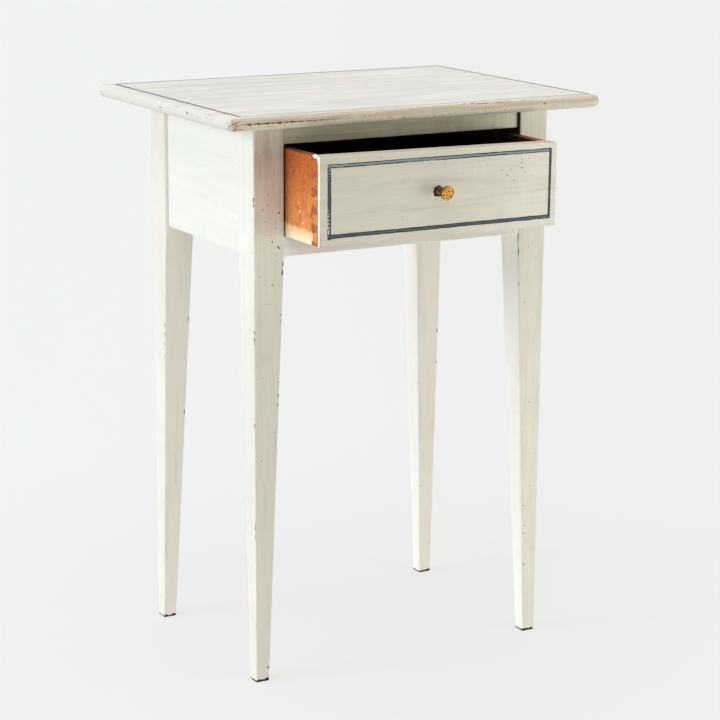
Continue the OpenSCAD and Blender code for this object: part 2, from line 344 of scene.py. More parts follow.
def soft_board_tree() -> bpy.types.NodeTree:
    """A board with rounded arrises, which may taper and lean to a foot, or flare to its front right corner.

    It keeps "arris", each point's distance from the nearest arris.
    """
    g = ShapeGraph("soft board")
    low = g.input("Low", "Vector")
    size = g.input("Size", "Vector")
    radius = g.input("Edge Radius", "Float", 2 * MM)
    cell = g.input("Cell", "Float", 4 * MM)
    pivot = g.input("Taper Pivot", "Vector")
    foot = g.input("Foot Share", "Float", 1.0)
    taper = g.input("Taper Height", "Float", 1 * MM)
    lean = g.input("Foot Lean", "Vector")
    flare = g.input("Front Flare", "Float", 0.0)
    material = g.input("Material", "Material")

    lengths = size.xyz()
    cells = []
    for length in lengths:
        flat_cells = g.math("ROUND", (length - radius * 2.0) / cell).most(1.0)
        cells.append(flat_cells + 2 * ROUND_ROWS)
    counts = {f"Vertices {axis}": cells[i] + 1 for i, axis in enumerate("XYZ")}
    block = g.out("GeometryNodeMeshCube", {}, {"Size": (1.0, 1.0, 1.0), **counts})

    steps = (g.position() + (0.5, 0.5, 0.5)).xyz()
    inner, away, gaps = [], [], []
    for step, count, length in zip(steps, cells, lengths):
        row = g.math("ROUND", step * count)
        round_rows = row.least(ROUND_ROWS) + (row - (count - ROUND_ROWS)).most(0.0)
        flat_share = ((row - ROUND_ROWS) / (count - 2 * ROUND_ROWS)).held()
        place = round_rows * (radius / ROUND_ROWS) + flat_share * (length - radius * 2.0)
        core = place.most(radius).least(length - radius)
        inner.append(core)
        away.append(place - core)
        gaps.append(place.least(length - place))
    outward = g.math("NORMALIZE", g.vector(*away))
    shape = g.vector(*inner) + outward * radius
    smallest = gaps[0].least(gaps[1]).least(gaps[2])
    largest = gaps[0].most(gaps[1]).most(gaps[2])
    arris = gaps[0] + gaps[1] + gaps[2] - smallest - largest

    across, deep, height = shape.xyz()
    climb = (height / taper).held()
    share = foot + (1.0 - foot) * climb
    placed = (low + shape - pivot).xyz()
    tapered = g.vector(placed[0] * share, placed[1] * share, placed[2]) + pivot
    skew = (across / lengths[0]) * (1.0 - deep / lengths[1]) * flare
    tapered = tapered + lean * (1.0 - climb) + g.vector(skew, 0.0, 0.0)

    board = g.store(block, "arris", arris)
    board = g.move(board, position=tapered)
    board = g.out("GeometryNodeMergeByDistance", {}, {"Geometry": board, "Distance": WELD})
    return g.end(board, material)


def weathering_tree() -> bpy.types.NodeTree:
    """Rolls and chips a board's arrises, and keeps "chip", how far each point is chipped."""
    g = ShapeGraph("weathering")
    board = g.input("Geometry", "Geometry")
    reach = g.input("Reach", "Float", 4 * MM)
    roll_depth = g.input("Roll", "Float", 0.5 * MM)
    chip_depth = g.input("Chip Depth", "Float", 0.8 * MM)
    chip_level = g.input("Chip Level", "Float", 0.62)
    sway = g.input("Sway", "Float", 0.2 * MM)
    stretch = g.input("Stretch", "Vector", (1.0, 1.0, 1.0))
    seed = g.input("Seed", "Float", 0.0)
    material = g.input("Material", "Material")

    place = g.position()
    arris = g.out("GeometryNodeInputNamedAttribute", {"data_type": "FLOAT"}, {"Name": "arris"})
    near = arris.fall(0.0, reach)
    roll = g.noise(place * stretch, 30.0, 2.0, 0.5, seed).rise(0.4, 0.75)
    bite = g.noise(place * stretch, 130.0, 3.0, 0.6, seed + 7.0)
    chip = bite.rise(chip_level, chip_level + 0.05) * arris.fall(reach * 0.3, reach)
    bend = (g.noise(place, 4.0, 1.0, 0.5, seed + 3.0) - 0.5) * 2.0
    normal = g.out("GeometryNodeInputNormal")
    depth = chip * chip_depth + near * roll * roll_depth + bend * sway * arris.rise(0.0, reach)
    board = g.store(board, "chip", chip)
    board = g.move(board, offset=normal * (depth * -1.0))
    return g.end(board, material)


def brush_stroke_tree() -> bpy.types.NodeTree:
    """One hand-painted stroke: a thin strip that wavers in line and in width.

    It keeps "across", from -1 to 1 over the stroke, "along" in metres, and how
    pale and how flecked the stroke is.
    """
    g = ShapeGraph("brush stroke")
    start = g.input("Start", "Vector")
    end = g.input("End", "Vector")
    face = g.input("Face Normal", "Vector", (0.0, 0.0, 1.0))
    width = g.input("Width", "Float", 4 * MM)
    waver = g.input("Waver", "Float", 0.5 * MM)
    lift = g.input("Lift", "Float", 0.12 * MM)
    pale = g.input("Pale", "Float", 0.5)
    flecks = g.input("Flecks", "Float", 0.2)
    seed = g.input("Seed", "Float", 0.0)
    material = g.input("Material", "Material")

    run = end - start
    length = g.length(run)
    ahead = g.math("NORMALIZE", run)
    side = g.math("CROSS_PRODUCT", face, ahead)
    rows = g.math("ROUND", length / (1.2 * MM)) + 2.0
    grid = g.out(
        "GeometryNodeMeshGrid", {},
        {"Size X": 1.0, "Size Y": 1.0, "Vertices X": rows, "Vertices Y": 9},
    )
    u, v = g.position().xyz()[:2]
    u = u + 0.5
    travel = g.vector(u * length, 0.0, 0.0)
    drift = (g.noise(travel, 12.0, 2.0, 0.5, seed) - 0.5) * waver * 4.0
    swell = 0.7 + g.noise(travel, 45.0, 3.0, 0.6, seed + 5.0) * 0.6
    ragged = (g.noise(g.vector(u * length, v * (9 * MM), 0.0), 260.0, 2.0, 0.6, seed + 9.0) - 0.5) * 0.3
    tip = ((u * length).least((1.0 - u) * length) / (width * 0.12) + 0.7).held()
    spread = v * width * swell * tip + ragged * width * v.size()
    place = start + ahead * (u * length) + side * (spread + drift) + face * lift
    stroke = g.store(grid, "across", v * 2.0)
    stroke = g.store(stroke, "along", u * length)
    stroke = g.store(stroke, "pale", pale + u * 0.0)
    stroke = g.store(stroke, "flecks", flecks + u * 0.0)
    stroke = g.move(stroke, position=place)
    return g.end(stroke, material)


def dots_tree() -> bpy.types.NodeTree:
    """A small flattened dot at every point of a mesh, such as a flight hole or a splash of paint."""
    g = ShapeGraph("dots")
    places = g.input("Geometry", "Geometry")
    across = g.input("Diameter", "Float", 1.5 * MM)
    rise = g.input("Thickness", "Float", 0.1 * MM)
    odd = g.input("Unevenness", "Float", 0.4)
    facing = g.input("Facing", "Vector", (0.0, -1.0, 0.0))
    seed = g.input("Seed", "Int", 1)
    material = g.input("Material", "Material")

    ball = g.out("GeometryNodeMeshIcoSphere", {}, {"Radius": 0.5, "Subdivisions": 3})
    wide, tall = (
        g.out("FunctionNodeRandomValue", {"data_type": "FLOAT"}, {2: -1.0, 3: 1.0, "Seed": seed + i}, 1)
        for i in (0, 1)
    )
    rotation = g.out("FunctionNodeAlignRotationToVector", {"axis": "Z"}, {"Vector": facing})
    scale = g.vector((wide * odd + 1.0) * across, (tall * odd + 1.0) * across, rise)
    dots = g.out(
        "GeometryNodeInstanceOnPoints", {},
        {"Points": places, "Instance": ball, "Rotation": rotation, "Scale": scale},
    )
    dots = g.out("GeometryNodeRealizeInstances", {}, {"Geometry": dots})
    ragged = g.out("ShaderNodeTexNoise", {}, {"Vector": g.position(), "Scale": 500.0}, "Color")
    dots = g.move(dots, offset=(ragged + (-0.5, -0.5, -0.5)) * across * odd)
    return g.end(dots, material)


@dataclass
class Trees:
    """The Geometry Nodes trees, each built once."""

    board: bpy.types.NodeTree = field(default_factory=soft_board_tree)
    weathering: bpy.types.NodeTree = field(default_factory=weathering_tree)
    stroke: bpy.types.NodeTree = field(default_factory=brush_stroke_tree)
    dots: bpy.types.NodeTree = field(default_factory=dots_tree)


# ---------------------------------------------------------------------------
# Mesh work
# ---------------------------------------------------------------------------


@dataclass(frozen=True)
class Scar:
    """A knock or a worn spot, as an ellipsoid that a board's surface sinks into."""

    centre: tuple[float, float, float]
    reach: tuple[float, float, float]
    depth: float = 0.5 * MM
    bare: float = 0.62


@dataclass(frozen=True)
class Wear:
    """How a board's arrises are worn."""

    roll: float = 0.3 * MM
    chip_level: float = 0.66
    chip_depth: float = 0.5 * MM
    reach: float = 4 * MM
    sway: float = 0.15 * MM
    seed: float = 0.0


def point_array(mesh: bpy.types.Mesh) -> np.ndarray:
    """A mesh's points as rows of x, y and z."""
    flat = np.empty(len(mesh.vertices) * 3)
    mesh.vertices.foreach_get("co", flat)
    return flat.reshape(-1, 3)


def knock(mesh: bpy.types.Mesh, scars: Iterable[Scar]) -> None:
    """Sinks ragged scars into a mesh and raises its "chip" there."""
    points = point_array(mesh)
    normals = np.empty(len(mesh.vertices) * 3)
    mesh.vertices.foreach_get("normal", normals)
    normals = normals.reshape(-1, 3)
    chip = np.empty(len(points))
    mesh.attributes["chip"].data.foreach_get("value", chip)
    for scar in scars:
        gap = (points - np.array(scar.centre)) / np.array(scar.reach)
        near = np.flatnonzero((gap * gap).sum(axis=1) < 2.0)
        for i in near:
            ragged = noise.noise(Vector(points[i]) * 320.0) * 0.7
            share = min(max(1.15 - float(gap[i] @ gap[i]) + ragged, 0.0), 1.0)
            chip[i] = max(chip[i], share * scar.bare)
            points[i] -= normals[i] * share * scar.depth
    mesh.vertices.foreach_set("co", points.ravel())
    mesh.attributes["chip"].data.foreach_set("value", chip)
    mesh.update()


def hull_faces(shape: bmesh.types.BMesh) -> set[int]:
    """Numbers of the faces that no part of the shape stands in front of."""
    points = np.array([v.co for v in shape.verts])
    return {
        f.index for f in shape.faces
        if ((points - np.array(f.calc_center_median())) @ np.array(f.normal)).max() < 10 * WELD
    }


def eased_copy(name: str, node: bpy.types.Object, ease: float,
               cell: float | None = None) -> bpy.types.Mesh:
    """Copies a packed board, easing its arrises.

    Args:
        name: The new mesh's name.
        node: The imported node.
        ease: How wide the eased outer arrises are.
        cell: The spacing of a lattice cut into the board, for later weathering.

    Returns:
        The new mesh.
    """
    mesh = node.data.copy()
    mesh.name = name
    shape = bmesh.new()
    shape.from_mesh(mesh)
    bmesh.ops.remove_doubles(shape, verts=shape.verts, dist=WELD)
    bmesh.ops.dissolve_limit(
        shape, angle_limit=math.radians(1), use_dissolve_boundaries=False,
        verts=shape.verts, edges=shape.edges, delimit=set(),
    )
    for width, segments, outer in ((ease, 4, True), (JOINT_EASE, 2, False)):
        shape.faces.index_update()
        shape.normal_update()
        hull = hull_faces(shape)
        sharp = [
            e for e in shape.edges
            if e.is_manifold and e.calc_length() > 3 * width and e.calc_face_angle(0.0) > SHARP
            and all(f.index in hull for f in e.link_faces) is outer
        ]
        bmesh.ops.bevel(
            shape, geom=sharp, offset=width, segments=segments, profile=0.5, affect="EDGES",
            clamp_overlap=True,
        )
    if cell:
        cut_lattice(shape, cell)
    for face in shape.faces:
        face.smooth = False
    shape.to_mesh(mesh)
    shape.free()
    mesh.materials.clear()
    return mesh


def cut_lattice(shape: bmesh.types.BMesh, cell: float) -> None:
    """Cuts a shape by evenly spaced planes across each axis."""
    points = np.array([v.co for v in shape.verts])
    low, high = points.min(axis=0), points.max(axis=0)
    for axis in range(3):
        count = max(int((high[axis] - low[axis]) / cell), 1)
        normal = [float(i == axis) for i in range(3)]
        for step in range(1, count):
            at = [0.0, 0.0, 0.0]
            at[axis] = low[axis] + (high[axis] - low[axis]) * step / count
            geometry = shape.verts[:] + shape.edges[:] + shape.faces[:]
            bmesh.ops.bisect_plane(shape, geom=geometry, dist=WELD, plane_co=at, plane_no=normal)


def measure_arris(mesh: bpy.types.Mesh, top: Callable[[np.ndarray], np.ndarray]) -> None:
    """Keeps "arris", each point's distance from the nearest arris of the board's box.

    Args:
        mesh: The board.
        top: Gives the height of the board's top edge at each x.
    """
    points = point_array(mesh)
    low, high = points.min(axis=0), points.max(axis=0)
    gaps = np.minimum(points - low, high - points)
    gaps[:, 2] = np.minimum(points[:, 2] - low[2], top(points[:, 0]) - points[:, 2])
    attribute = mesh.attributes.new("arris", "FLOAT", "POINT")
    attribute.data.foreach_set("value", np.sort(gaps, axis=1)[:, 1])


def new_piece(name: str, mesh: bpy.types.Mesh) -> bpy.types.Object:
    """Links a mesh into the scene as an object at the origin."""
    piece = bpy.data.objects.new(name, mesh)
    bpy.context.scene.collection.objects.link(piece)
    return piece


def point_mesh(name: str, points: Iterable[Sequence[float]]) -> bpy.types.Mesh:
    """A mesh of loose points, for setting out dots."""
    mesh = bpy.data.meshes.new(name)
    mesh.from_pydata([tuple(p) for p in points], [], [])
    return mesh


def turned_mesh(name: str, outline: Sequence[tuple[float, float]], segments: int,
                relief: Callable[[float, float], float]) -> bpy.types.Mesh:
    """Turns an outline about the Z axis.

    Args:
        name: The new mesh's name.
        outline: Radius and height pairs, from the bottom of the axis to the top.
        segments: How many steps go round.
        relief: Gives how far a point at a radius and angle is raised.

    Returns:
        A closed mesh, its poles on the axis.
    """
    shape = bmesh.new()
    rings = []
    for radius, height in outline:
        turn = [2 * math.pi * i / segments for i in range(segments)]
        rings.append([
            shape.verts.new((radius * math.cos(a), radius * math.sin(a), height + relief(radius, a)))
            for a in turn
        ])
    for lower, upper in zip(rings, rings[1:]):
        for i in range(segments):
            j = (i + 1) % segments
            shape.faces.new((lower[i], lower[j], upper[j], upper[i]))
    bmesh.ops.remove_doubles(shape, verts=shape.verts, dist=WELD)
    bmesh.ops.recalc_face_normals(shape, faces=shape.faces)
    for face in shape.faces:
        face.smooth = True
    mesh = bpy.data.meshes.new(name)
    shape.to_mesh(mesh)
    shape.free()
    return mesh


# ---------------------------------------------------------------------------
# Finishes
# ---------------------------------------------------------------------------


class Grain(Enum):
    """Which way a board's grain runs, and so its brush marks."""

    X = 0
    Y = 1
    Z = 2

    def stretch(self, along: float, across: float) -> tuple[float, float, float]:
        """Scales for a pattern drawn out along the grain."""
        scales = [across] * 3
        scales[self.value] = along
        return tuple(scales)


class MaterialGraph(Graph):
    """A material's node tree around one Principled shader."""

    def __init__(self, name: str) -> None:
        """Starts a new material with an empty tree."""
        self.material = bpy.data.materials.new(name)
        self.material.use_nodes = True
        super().__init__(self.material.node_tree)
        self.tree.nodes.clear()
        self.place = self.out("ShaderNodeTexCoord", output="Object")
        self.normal = self.out("ShaderNodeNewGeometry", output="Normal")

    def kept(self, name: str) -> Signal:
        """A number kept on the mesh's points."""
        return self.out("ShaderNodeAttribute", {"attribute_name": name}, output="Fac")

    def grained(self, grain: Grain, along: float, across: float) -> Signal:
        """Object coordinates drawn out along the grain."""
        return self.out(
            "ShaderNodeMapping", {"vector_type": "POINT"},
            {"Vector": self.place, "Scale": grain.stretch(along, across)},
        )

    def bump(self, height: Signal, distance: float, strength: float) -> Signal:
        """A surface normal that follows a height."""
        feeds = {"Strength": strength, "Distance": distance, "Height": height}
        return self.out("ShaderNodeBump", {}, feeds)

    def finish(self, **feeds: Feed) -> bpy.types.Material:
        """Ends the tree in a Principled shader.

        Args:
            **feeds: Its sockets, with underscores for spaces.

        Returns:
            The material.
        """
        named = {name.replace("_", " "): value for name, value in feeds.items()}
        shader = self.out("ShaderNodeBsdfPrincipled", {}, named)
        self.node("ShaderNodeOutputMaterial", {}, {"Surface": shader})
        return self.material


@dataclass(frozen=True)
class PaintedWood:
    """Old brushed oil paint on pine, rubbed and chipped at its arrises."""

    name: str
    grain: Grain
    light: Colour = tint("eeede1")
    dark: Colour = tint("e3e1d2")
    cool: Colour = tint("dfe3d6")
    warm: Colour = tint("e9dcd0")
    undercoat: Colour = tint("bfa78f")
    bare: Colour = tint("8a4a34")
    soot: Colour = tint("3a251c")
    rub: float = 0.3
    tone: Callable[["MaterialGraph", Signal], Signal] | None = None
    worn_faces: Callable[["MaterialGraph"], Signal] | None = None
    cracks: Callable[["MaterialGraph"], Signal] | None = None
    raw: Callable[["MaterialGraph", Signal], Signal] | None = None

    def build(self) -> bpy.types.Material:
        """Makes the material."""
        g = MaterialGraph(self.name)
        fine = g.noise(g.grained(self.grain, 9.0, 380.0), 1.0, 3.0, 0.6)
        broad = g.noise(g.grained(self.grain, 5.0, 55.0), 1.0, 4.0, 0.6, 4.0)
        cloud = g.noise(g.place, 14.0, 4.0, 0.55, 8.0)
        haze = g.noise(g.grained(self.grain, 9.0, 20.0), 1.0, 3.0, 0.55, 12.0)
        scuffs = g.noise(g.grained(self.grain, 22.0, 60.0), 1.0, 4.0, 0.65, 14.0)
        cross = g.noise(g.grained(self.grain, 90.0, 14.0), 1.0, 3.0, 0.6, 33.0)

        marks = fine * 0.4 + broad * 0.6
        colour = g.mix(marks.rise(0.34, 0.64), self.dark, self.light)
        colour = g.mix(cloud.rise(0.46, 0.7) * 0.7, colour, self.cool)
        colour = g.mix(haze.rise(0.5, 0.74) * 0.7, colour, self.warm)
        colour = g.mix(cross.rise(0.48, 0.72) * 0.35, colour, self.dark)
        colour = g.mix(scuffs.rise(0.6, 0.78) * 0.22, colour, self.undercoat)

        if self.tone:
            colour = self.tone(g, colour)
        arris, chip = g.kept("arris"), g.kept("chip")
        grit = g.noise(g.place, 420.0, 3.0, 0.6, 2.0)
        rubbed = arris.fall(0.0, 3.0 * MM) * (broad * 0.5 + grit * 0.5).rise(0.64 - 0.2 * self.rub, 0.74)
        rubbed = rubbed.most((chip * 1.4).held() * 0.6)
        if self.worn_faces:
            rubbed = rubbed.most(self.worn_faces(g))
        colour = g.mix(rubbed, colour, self.undercoat)
        shred = g.noise(g.grained(self.grain, 130.0, 620.0), 1.0, 3.0, 0.6, 35.0)
        bare = (chip + (shred - 0.5) * 1.5).rise(0.42, 0.54) * chip.rise(0.05, 0.2)
        specks = g.noise(g.place, 260.0, 2.0, 0.5, 21.0).rise(0.74, 0.755) * arris.fall(2 * MM, 30 * MM)
        bare = bare.most(specks)
        if self.cracks:
            bare = bare.most(self.cracks(g))
        wood = g.mix(g.noise(g.place, 110.0, 2.0, 0.5, 5.0).rise(0.42, 0.62), self.bare, self.soot)
        colour = g.mix(bare, colour, wood)
        if self.raw:
            colour = self.raw(g, colour)
        height = marks * 0.6 + fine * 0.3 + scuffs * 0.3 - bare * 1.5 - rubbed * 0.4
        rough = 0.42 + fine * 0.16 + rubbed * 0.14 + bare * 0.2
        return g.finish(
            Base_Color=colour, Roughness=rough, Normal=g.bump(height, 0.25 * MM, 0.6),
            Specular_IOR_Level=0.35,
        )


@dataclass(frozen=True)
class PineWood:
    """Pine in one of its states: bare, stained or dark inside a drawer."""

    name: str
    grain: Grain
    light: Colour
    dark: Colour
    rough: float = 0.65
    figure: float = 0.3
    overlay: Callable[["MaterialGraph", Signal], Signal] | None = None

    def build(self) -> bpy.types.Material:
        """Makes the material."""
        g = MaterialGraph(self.name)
        bend = g.noise(g.grained(self.grain, 2.0, 9.0), 1.0, 2.0, 0.5, 3.0)
        drift = g.vector(bend * 0.11, bend * 0.09, bend * 0.1)
        rings = g.out(
            "ShaderNodeTexWave", {"wave_type": "RINGS", "rings_direction": "XYZ"[self.grain.value]},
            {"Vector": g.grained(self.grain, 0.5, 1.0) + drift, "Scale": 48.0, "Distortion": 3.0,
             "Detail": 2.0, "Detail Scale": 1.2},
            "Fac",
        )
        fibre = g.noise(g.grained(self.grain, 14.0, 640.0), 1.0, 3.0, 0.6)
        mottle = g.noise(g.grained(self.grain, 12.0, 30.0), 1.0, 3.0, 0.55, 9.0)
        share = (rings * self.figure + fibre * 0.35 + mottle * (0.75 - self.figure)).rise(0.3, 0.8)
        colour = g.mix(share, self.light, self.dark)
        if self.overlay:
            colour = self.overlay(g, colour)
        height = fibre * 0.6 + rings * 0.4
        return g.finish(
            Base_Color=colour, Roughness=self.rough + (fibre - 0.5) * 0.2,
            Normal=g.bump(height, 0.3 * MM, 0.5), Specular_IOR_Level=0.3,
        )


@dataclass(frozen=True)
class BrushedLine:
    """Blue line paint: dark where the brush's edges left it thick, paler between."""

    name: str
    edge: Colour
    deep: Colour
    pale: Colour
    ground: Colour

    def build(self) -> bpy.types.Material:
        """Makes the material."""
        g = MaterialGraph(self.name)
        across, along, pale = g.kept("across"), g.kept("along"), g.kept("pale")
        hairs = g.noise(g.vector(along * 45.0, across * 2.2, 0.0), 1.0, 3.0, 0.6)
        slow = g.noise(g.vector(along * 11.0, 0.0, 0.0), 1.0, 3.0, 0.55, 6.0)
        side = g.noise(g.vector(along * 17.0, 0.0, 0.0), 1.0, 2.0, 0.5, 16.0)
        middle = across + (side - 0.5) * 1.3
        thick = (middle.size() + (hairs - 0.5) * 1.1 + (slow - 0.5) * 1.3).rise(0.38, 0.60)
        colour = g.mix(thick, g.mix((pale + (slow - 0.5) * 1.2).held(), self.deep, self.pale), self.edge)
        grains = g.noise(g.vector(along * 420.0, across * 1.5, 0.0), 1.0, 2.0, 0.6, 15.0)
        patches = g.noise(g.vector(along * 28.0, across * 0.4, 0.0), 1.0, 2.0, 0.5, 30.0)
        flecked = (grains * 0.55 + patches * 0.45 + g.kept("flecks") * 0.3).rise(0.66, 0.7)
        colour = g.mix(flecked, colour, self.ground)
        return g.finish(Base_Color=colour, Roughness=0.45 + hairs * 0.1, Specular_IOR_Level=0.35)


@dataclass(frozen=True)
class OldMetal:
    """A metal that is bright where hands rub it and dark in its hollows, and also in painted shade where it
    reads hollow.
    """

    name: str
    bright: Colour
    dull: Colour
    rough: float
    hollow: bool = False
    flaked: Colour | None = None

    def build(self) -> bpy.types.Material:
        """Makes the material."""
        g = MaterialGraph(self.name)
        cloud = g.noise(g.place, 300.0, 2.0, 0.5)
        fine = g.noise(g.place, 1800.0, 2.0, 0.5, 4.0)
        dark_share = cloud.rise(0.38, 0.68) * 0.65
        if self.hollow:
            # Painted shade as well as patina: the knob's kept attribute darkens its rim, its neck and the
            # face's upper edge.
            dark_share = dark_share.most(g.kept("hollow") * (0.7 + fine * 0.5)).held()
        colour = g.mix(dark_share, self.bright, self.dull)
        metal = 1.0 - dark_share * 0.5
        if self.flaked:
            spots = g.noise(g.place, 520.0, 3.0, 0.6, 7.0).rise(0.58, 0.64)
            colour = g.mix(spots, colour, self.flaked)
            metal = metal * (1.0 - spots)
        return g.finish(
            Base_Color=colour, Metallic=metal,
            Roughness=self.rough + dark_share * 0.3 + (fine - 0.5) * 0.1,
            Normal=g.bump(fine, 0.05 * MM, 0.4),
        )


def dark_hole() -> bpy.types.Material:
    """The dark inside of a flight hole."""
    g = MaterialGraph("flight hole")
    shade = g.noise(g.place, 300.0, 2.0, 0.5).rise(0.35, 0.7)
    return g.finish(Base_Color=g.mix(shade, tint("241a14"), tint("4a3629")), Roughness=0.9)


def self_lit_floor(yaw: float) -> bpy.types.Material:
    """A pale floor that glows by its own emission as painted light, a little darker to the right and falling
    away into the dark towards the camera.

    Args:
        yaw: Which way the camera looks, clockwise from +Y.

    Returns:
        The material.
    """
    g = MaterialGraph("studio floor")
    x, y = g.place.xyz()[:2]
    away = x * math.sin(yaw) + y * math.cos(yaw)
    side = x * math.cos(yaw) - y * math.sin(yaw)
    # Painted shade: the floor's glow is a little darker to the right of the main view.
    pale = g.mix(side.rise(-0.6, 0.3), (0.97, 0.985, 0.985, 1.0), (0.945, 0.94, 0.93, 1.0))
    # Painted light: the floor glows by emission, bright far off and dim on the camera's side.
    glow = g.mix(away.rise(-2.2, -0.7), tint("a7a7a2"), pale)
    return g.finish(
        Base_Color=(0.20, 0.203, 0.20, 1.0), Roughness=0.9, Specular_IOR_Level=0.0,
        Emission_Color=glow, Emission_Strength=0.69,
    )


# ---------------------------------------------------------------------------
# Sub-assemblies
# ---------------------------------------------------------------------------


class Body(str, Enum):
    """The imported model's bodies."""

    TABLE = "table"
    DRAWER = "drawer"


@dataclass(frozen=True)
class Sun:
    """A broad distant light: its strength and colour, where it comes from and its spread in degrees."""

    name: str
    light: tuple[float, float, float]
    source: tuple[float, float, float]
    spread: float


@dataclass
class Studio:
    """The camera, the floor, whose glow is painted light, and plain soft light."""

    lens: float = 118.1
    yaw: float = 29.43
    pitch: float = 13.41
    roll: float = 0.36
    stand: tuple[float, float, float] = (-1.5283, -2.72275, 1.1297)
    floor_half: float = 40.0
    room: tuple[float, float, float] = (0.27, 0.20, 0.16)
    suns: tuple[Sun, ...] = (
        Sun("window", (1.20, 1.38, 1.76), (-0.985, 0.0, 0.09), 48.0),
        Sun("lamp", (0.86, 0.91, 0.98), (-0.95, 0.12, 0.27), 20.0),
        Sun("ceiling", (2.05, 2.30, 2.42), (-0.15, -0.05, 1.0), 90.0),
    )
    card: tuple[float, float, float] = (11.2, 11.0, 10.1)
    card_place: tuple[float, float, float] = (1.35, -1.45, 0.35)
    card_aim: tuple[float, float, float] = (0.12, -0.10, 0.30)
    card_side: float = 1.1

    def build(self) -> None:
        """Sets up everything that isn't part of the object."""
        self._camera()
        self._floor()
        world = bpy.data.worlds.new("studio")
        world.use_nodes = True
        world.node_tree.nodes["Background"].inputs["Color"].default_value = (*self.room, 1.0)
        scene = bpy.context.scene
        scene.world = world
        for sun in self.suns:
            data = bpy.data.lights.new(sun.name, "SUN")
            data.angle = math.radians(sun.spread)
            self._hang(data, sun.light, Vector(sun.source), Vector((0, 0, 2)))
        data = bpy.data.lights.new("card", "AREA")
        data.size = self.card_side
        place = Vector(self.card_place)
        self._hang(data, self.card, place - Vector(self.card_aim), place)
        scene.view_settings.view_transform = "Standard"
        scene.view_settings.look = "None"

    def _camera(self) -> None:
        """Puts the camera where someone stands to the left of the table's front."""
        yaw, pitch, roll = (math.radians(a) for a in (self.yaw, self.pitch, self.roll))
        ahead = Vector((
            math.sin(yaw) * math.cos(pitch), math.cos(yaw) * math.cos(pitch), -math.sin(pitch)
        ))
        level = Vector((math.cos(yaw), -math.sin(yaw), 0.0))
        up = level.cross(ahead)
        right = level * math.cos(roll) + up * math.sin(roll)
        up = right.cross(ahead)
        turn = Matrix((right, up, -ahead)).transposed()
        data = bpy.data.cameras.new("camera")
        data.lens = self.lens
        data.sensor_width = 36.0
        camera = bpy.data.objects.new("camera", data)
        camera.matrix_world = Matrix.Translation(self.stand) @ turn.to_4x4()
        bpy.context.scene.collection.objects.link(camera)
        bpy.context.scene.camera = camera

    def _floor(self) -> None:
        """Lays a floor that runs past the view on every side."""
        h = self.floor_half
        mesh = bpy.data.meshes.new("studio_floor")
        mesh.from_pydata([(-h, -h, 0), (h, -h, 0), (h, h, 0), (-h, h, 0)], [], [(0, 1, 2, 3)])
        mesh.materials.append(self_lit_floor(math.radians(self.yaw)))
        new_piece("studio_floor", mesh)

    @staticmethod
    def _hang(data: bpy.types.Light, light: Sequence[float], away: Vector, place: Vector) -> None:
        """Gives a lamp its strength and colour and turns it to shine against a direction."""
        data.energy = max(light)
        data.color = [part / max(light) for part in light]
        lamp = bpy.data.objects.new(data.name, data)
        lamp.rotation_euler = away.to_track_quat("Z", "Y").to_euler()
        lamp.location = place
        lamp.visible_camera = False
        bpy.context.scene.collection.objects.link(lamp)


@dataclass
class Shop:
    """What every sub-assembly is made with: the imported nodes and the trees."""

    nodes: dict[str, bpy.types.Object]
    trees: Trees = field(default_factory=Trees)

    def board(self, name: str, low: Vector, high: Vector, finish: bpy.types.Material, *, radius: float,
              grain: Grain, cell: float = 4 * MM, wear: Wear = Wear(), scars: Iterable[Scar] = (),
              **shape: Feed) -> bpy.types.Object:
        """Makes a board that fills a box, with worn arrises.

        Args:
            name: The piece's name.
            low: The box's lowest corner.
            high: Its highest corner.
            finish: The board's material.
            radius: How round its arrises are.
            grain: Which way its grain runs, along which chips are drawn out.
            cell: The spacing of its points.
            wear: How its arrises are worn.
            scars: Knocks at chosen places.
            **shape: The soft board tree's other inputs, with underscores for spaces.

        Returns:
            The board.
        """
        inputs = {
            "Low": low, "Size": high - low, "Edge Radius": radius, "Cell": cell, "Material": finish
        }
        inputs.update({key.replace("_", " "): value for key, value in shape.items()})
        piece = self.weather(grow(name, self.trees.board, inputs), finish, grain, wear)
        knock(piece.data, scars)
        return piece

    def weather(self, piece: bpy.types.Object, finish: bpy.types.Material, grain: Grain,
                wear: Wear) -> bpy.types.Object:
        """Wears the arrises of a piece that carries "arris"."""
        name, mesh = piece.name, piece.data
        bpy.data.objects.remove(piece)
        return grow(name, self.trees.weathering, {
            "Reach": wear.reach, "Roll": wear.roll, "Chip Depth": wear.chip_depth,
            "Chip Level": wear.chip_level, "Sway": wear.sway, "Seed": wear.seed,
            "Stretch": grain.stretch(0.35, 1.0), "Material": finish,
        }, mesh)

    def stroke(self, name: str, start: Vector, end: Vector, face: Vector, finish: bpy.types.Material,
               **settings: float) -> bpy.types.Object:
        """Paints one brush stroke between two points of a face."""
        inputs = {"Start": start, "End": end, "Face Normal": face, "Material": finish}
        inputs.update({key.replace("_", " "): value for key, value in settings.items()})
        return grow(name, self.trees.stroke, inputs)

    def dots(self, name: str, points: Iterable[Sequence[float]], finish: bpy.types.Material,
             facing: Sequence[float], across: float, seed: int, rise: float = 0.12 * MM,
             odd: float = 0.3) -> bpy.types.Object:
        """Makes flattened dots at points of a face."""
        inputs = {
            "Diameter": across, "Thickness": rise, "Unevenness": odd, "Facing": facing, "Seed": seed,
            "Material": finish,
        }
        return grow(name, self.trees.dots, inputs, point_mesh(name, points))

    def join(self, name: str, pieces: Sequence[bpy.types.Object]) -> bpy.types.Object:
        """Joins pieces of one finish into one piece."""
        shape = bmesh.new()
        for piece in pieces:
            shape.from_mesh(piece.data)
        mesh = bpy.data.meshes.new(name)
        shape.to_mesh(mesh)
        shape.free()
        for material in pieces[0].data.materials:
            mesh.materials.append(material)
        for piece in pieces:
            bpy.data.objects.remove(piece)
        return new_piece(name, mesh)


